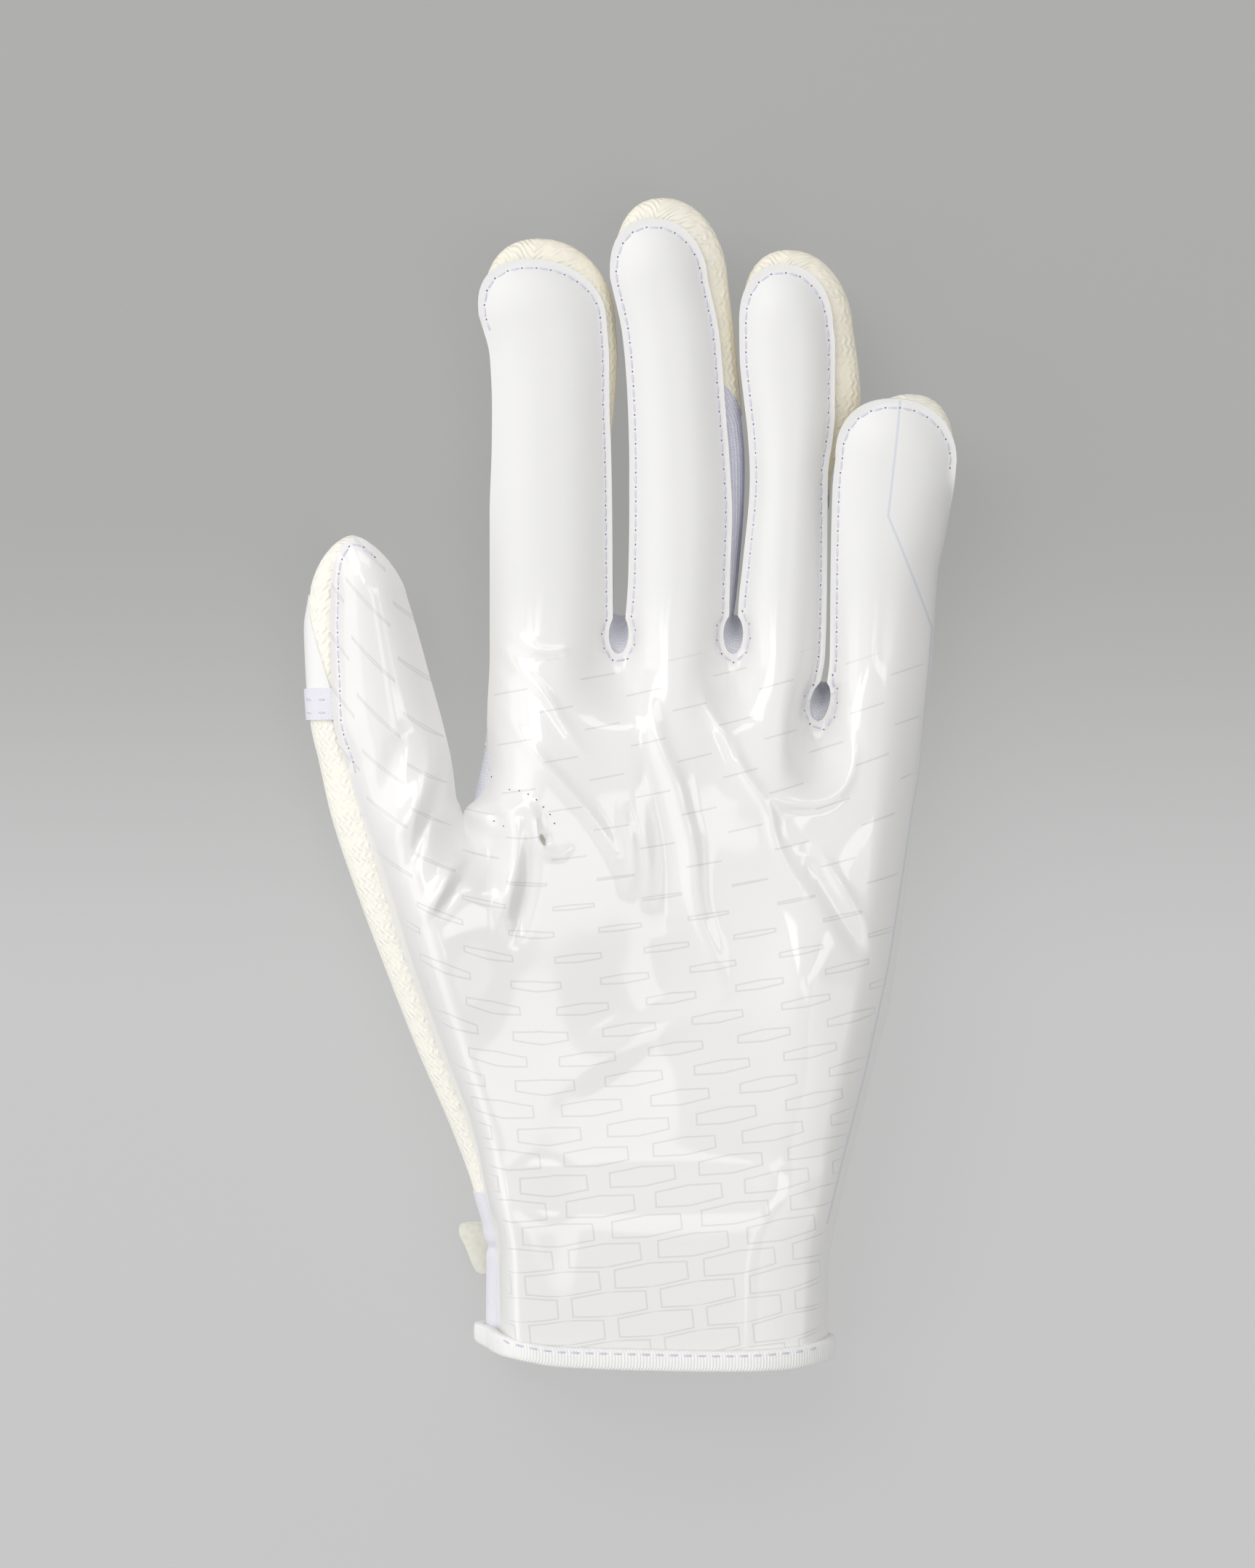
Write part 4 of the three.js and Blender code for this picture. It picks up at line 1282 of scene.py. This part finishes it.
def cellLines(look, x, y, thumb):
    c = cells
    higher = y.between(*c["higher"])
    aside = x + c["middle"] + higher * c["higherMiddle"]
    leftBow = (higher * c["higherLeftBow"] + c["leftBow"]) * y.between(*c["leftBowOver"])
    rightRise = aside * (higher * c["higherRightSlope"] + c["rightSlope"]) + aside * aside * c["rightBow"]
    bow = mixSides(aside, aside * aside * leftBow, rightRise) - higher * c["higherSink"]
    closer = (c["closerFrom"] - y).most(0.0) * c["closer"]
    v = (y - bow - closer + c["startY"]) / c["pitchY"]
    row = v.floor()
    u = (x + c["startX"] + (y + c["leanFrom"]) * c["lean"]) / c["pitchX"] + row * 0.5 + 0.5
    a = abs((u - u.floor() - 0.5) * c["pitchX"])
    b = abs((v - row - 0.5) * c["pitchY"])
    depth = (c["dashesAt"] - y - (x + c["tiltFrom"]) * c["tilt"]) / c["cellsBelow"]
    depth = depth.most(0.0).least(1.0).power(c["growth"]).most(thumb * c["thumbDepth"])
    halfWidth = depth * c["wider"] + c["halfWidth"]
    edge = b + a * (depth * c["endSlope"]).least(c["mostEndSlope"]) - depth * c["taller"]
    away = abs((a - halfWidth).most(edge))
    line = 1 - away.between(*(c["lineHalf"] * share for share in c["lineEdge"]))
    _, _, facing = look.split(look.node("ShaderNodeTexCoord", {}, output="Normal"))
    return line * (1 - y.between(*c["ends"])).most(thumb) * facing.between(*c["facing"])


def drawnLine(x, y, path, softEdge):
    # 1 along a path of straight lines
    drawn = None
    for (ax, ay), (bx, by) in zip(path, path[1:]):
        lengthSquared = (bx - ax) ** 2 + (by - ay) ** 2
        share = (x - ax) * ((bx - ax) / lengthSquared) + (y - ay) * ((by - ay) / lengthSquared)
        share = share.most(0.0).least(1.0)
        dx = x - ax - share * (bx - ax)
        dy = y - ay - share * (by - ay)
        mark = 1 - (dx * dx + dy * dy).power(0.5).between(*softEdge)
        drawn = mark if drawn is None else drawn.most(mark)
    return drawn


def makeSilicone():
    s = siliconeLook
    look = Look("white_silicone", Roughness=0.48, Coat_Roughness=0.06, Coat_IOR=1.5, Specular_IOR_Level=0.3)
    x, y, _ = look.place()
    thumb = 1 - x.between(*s["thumbEdge"])
    glossy = (1 - y.between(*s["glossEnds"])).most(thumb)
    clouded = tuple(part * s["clouded"] for part in s["white"])
    white = look.blend(look.noise(s["cloudScale"]).between(*s["clouds"]), s["white"], clouded)
    tone = look.blend(glossy, s["satin"], white)
    tone = look.blend(cellLines(look, x, y, thumb) * s["lineShare"], tone, s["line"])
    panel = drawnLine(x, y, s["panelPath"], s["panelEdge"]) * s["panelShare"]
    tone = look.blend(panel, tone, s["panelTone"])
    # a small hole painted on, its inside darkened by painted shade
    eyeX, eyeY = ((axis - at) / reach for axis, at, reach in zip((x, y), s["eyeSpot"], s["eyeReach"]))
    eye = 1 - (eyeX * eyeX + eyeY * eyeY + eyeX * eyeY * s["eyeLean"]).between(*s["eyeEdge"])
    look.feed("Base Color", look.blend(eye, tone, s["eye"]))
    look.feed("Coat Weight", glossy * s["coat"] + s["leastCoat"])
    return look.material


# The other looks: tones in the hollows and on the ribs of a weave, and how deep it is
cloths = {row["name"]: row for row in table("name roughness gloss sheen low high depth strength", [
    ("ripple_knit", 0.82, 0.25, 0.15, (0.94, 0.92, 0.83), (0.98, 0.965, 0.90), 0.30, 0.65),
    ("lavender_mesh", 0.8, 0.25, 0.0, (0.62, 0.62, 0.74), (0.82, 0.82, 0.90), 0.2, 0.6),
    ("woven_tape", 0.6, 0.35, 0.0, (0.76, 0.755, 0.83), (0.83, 0.825, 0.88), 0.08, 0.5),
    ("cream_suede", 0.95, 0.15, 0.3, (0.70, 0.69, 0.60), (0.90, 0.89, 0.80), 0.25, 0.6),
    ("ribbed_binding", 0.62, 0.35, 0.1, (0.86, 0.857, 0.85), (0.93, 0.93, 0.925), 0.12, 0.6),
    ("white_film", 0.35, 0.5, 0.0, (0.84, 0.84, 0.83), (0.88, 0.88, 0.875), None, None),
    ("lavender_thread", 0.6, 0.3, 0.0, (0.62, 0.61, 0.74), (0.72, 0.71, 0.82), None, None),
    # the last tones are dark dots of painted shade in the needle holes
    ("needle_mark", 0.8, 0.2, 0.0, (0.13, 0.12, 0.24), (0.24, 0.23, 0.38), None, None),
])}

# Wavelengths in millimetres, and scales of the noise
weaves = dict(
    knitRow=1.45, sway=0.2, swayPitch=2.1, wander=0.7, wanderScale=160.0,
    brokenScale=420.0, broken=(0.3, 0.62),
    # the next tone is painted shade: a warmer, darker knit low down in the gaps between the fingers
    deep=(0.88, 0.78, 0.56), deepShare=0.4, deepHeights=(12, 20), deepLevels=(50, 66),
    # the levels and tones of the paler mesh near the crotches are painted light, lifting the shade in the
    # keyholes
    meshRib=0.8, ribShare=0.7, meshCross=0.55, stretchedLevels=(34, 46),
    stretchedLow=(0.80, 0.80, 0.90), stretchedHigh=(0.93, 0.93, 0.97),
    tape=0.5, nap=900.0, napDetail=4.0, binding=0.6, film=60.0, thread=300.0,
)


def makeCloth(name, heightOf, toneOf=None):
    cloth = cloths[name]
    constants = dict(Roughness=cloth["roughness"], Specular_IOR_Level=cloth["gloss"])
    look = Look(name, Sheen_Weight=cloth["sheen"], **constants)
    height = heightOf(look)
    tone = look.blend(height, cloth["low"], cloth["high"])
    look.feed("Base Color", toneOf(look, height, tone) if toneOf else tone)
    if cloth["depth"]:
        look.bump(height, cloth["depth"], cloth["strength"])
    return look.material


def knitHeight(look):
    u, v = look.lengths()
    wander = look.noise(weaves["wanderScale"], 2.0) * weaves["wander"]
    ripple = (u / weaves["knitRow"] + v.swing(weaves["swayPitch"]) * weaves["sway"] + wander).wave(1)
    return ripple * look.noise(weaves["brokenScale"], 2.0).between(*weaves["broken"])


def knitShadedTone(look, height, tone):
    # painted shade: warmer and darker down in the gaps between the fingers
    _, y, z = look.place()
    deep = (1 - z.between(*weaves["deepHeights"])) * y.between(*weaves["deepLevels"])
    return look.blend(deep * weaves["deepShare"], tone, weaves["deep"])


def meshHeight(look):
    u, v = look.lengths()
    ribs = u.wave(weaves["meshRib"]) * weaves["ribShare"]
    return ribs + v.wave(weaves["meshCross"]) * (1 - weaves["ribShare"])


def meshLitTone(look, height, tone):
    # painted light: paler low down, near the crotches and keyholes, to lift their shade
    keyholeLight = look.blend(height, weaves["stretchedLow"], weaves["stretchedHigh"])
    return look.blend(look.place()[1].between(*weaves["stretchedLevels"]), keyholeLight, tone)


def tapeHeight(look):
    u, v = look.lengths()
    return u.swing(weaves["tape"]) * v.swing(weaves["tape"]) * 0.5 + 0.5


silicone = makeSilicone()
knit = makeCloth("ripple_knit", knitHeight, knitShadedTone)
sideMesh = makeCloth("lavender_mesh", meshHeight, meshLitTone)
film = makeCloth("white_film", lambda look: look.noise(weaves["film"]))
tape = makeCloth("woven_tape", tapeHeight)
suede = makeCloth("cream_suede", lambda look: look.noise(weaves["nap"], weaves["napDetail"]))
ribbed = makeCloth("ribbed_binding", lambda look: look.lengths()[0].wave(weaves["binding"]))
thread = makeCloth("lavender_thread", lambda look: look.noise(weaves["thread"]))
# dark dots of painted shade in the needle holes
mark = makeCloth("needle_mark", lambda look: look.noise(weaves["thread"]))
print("materials made")

palm = makePalm(silicone)
print("palm made", len(palm.data.polygons))
back = makeBack(knit)
print("back made", len(back.data.polygons))
wallNames = ["thumb_gusset", "fourchette_index_middle", "fourchette_middle_ring", "fourchette_ring_pinky"]
for wallName, wallGap in zip(wallNames, gaps):
    makeSideWall(wallName, wallGap, sideMesh)
makeThumbTrim(film, tape)
makeWristStrip(tape)
makePullTab(suede)
binding = makeBinding(ribbed)
makeSeams(palm, binding, thread, mark)
print("pieces made")

# Floor, camera and light
studio = dict(
    floorSize=6.0,
    floorDrop=0.0004,
    floorRise=(-45, 60),   # levels between which the backdrop darkens, a painted falloff of its glow and tone towards the top
    lens=100.0,
    sensor=36.0,
    cameraShift=0.0002,
    shownHeight=0.3018,
    aimHeight=0.014,
    worldTone=(1.0, 0.99, 0.975, 1),
    worldStrength=0.38,
)

softboxes = table("name spot size power", [
    ("softbox_key", (-0.8, 0.85, 1.05), (0.85, 0.85), 7.2),
    ("softbox_left", (-1.2, -0.2, 0.55), (1.6, 1.1), 7.0),
    ("softbox_top", (0.1, 1.2, 1.1), (0.9, 0.4), 3.0),
    ("softbox_above", (0.07, -0.09, 1.6), (0.22, 0.42), 0.6),
    ("softbox_fill", (0.9, -0.6, 1.5), (1.2, 1.2), 5.8),
    ("strip_left", (-0.34, 0.35, 1.1), (0.16, 0.5), 0.95),
    ("strip_right", (0.40, 0.10, 1.1), (0.12, 0.5), 0.6),
])


def makeFloor():
    bpy.ops.mesh.primitive_plane_add(size=studio["floorSize"], location=(0, 0, 0))
    floor = bpy.context.active_object
    floor.name = "floor"
    floor.location.z = -studio["floorDrop"]
    # The floor glows: painted light that washes out the glove's shadows, and it is painted darker towards
    # the top
    look = Look("pale_floor", Roughness=0.9, Specular_IOR_Level=0.1, Emission_Strength=1.0)
    _, y, _ = look.place()
    rise = y.between(*studio["floorRise"])
    look.feed("Base Color", look.blend(rise, (0.13, 0.13, 0.13), (0.12, 0.12, 0.12)))
    look.feed("Emission Color", look.blend(rise, (0.445, 0.445, 0.445), (0.30, 0.30, 0.296)))
    floor.data.materials.append(look.material)


def makeCamera():
    lens = bpy.data.cameras.new("camera")
    lens.lens = studio["lens"]
    lens.sensor_width = studio["sensor"]
    camera = linkObject("camera", lens)
    away = studio["shownHeight"] * studio["lens"] / studio["sensor"]
    camera.location = (studio["cameraShift"], 0, studio["aimHeight"] + away)
    bpy.context.scene.camera = camera


def makeLight():
    world = bpy.data.worlds.new("studio")
    world.use_nodes = True
    background = world.node_tree.nodes["Background"]
    background.inputs["Color"].default_value = studio["worldTone"]
    background.inputs["Strength"].default_value = studio["worldStrength"]
    bpy.context.scene.world = world
    for box in softboxes:
        light = bpy.data.lights.new(box["name"], "AREA")
        light.shape = "RECTANGLE"
        light.size, light.size_y = box["size"]
        light.energy = box["power"]
        lamp = linkObject(box["name"], light)
        lamp.location = box["spot"]
        lamp.rotation_euler = (-Vector(box["spot"])).to_track_quat("-Z", "Y").to_euler()
    bpy.context.scene.view_settings.view_transform = "Standard"


makeFloor()
makeCamera()
makeLight()
print("studio made")
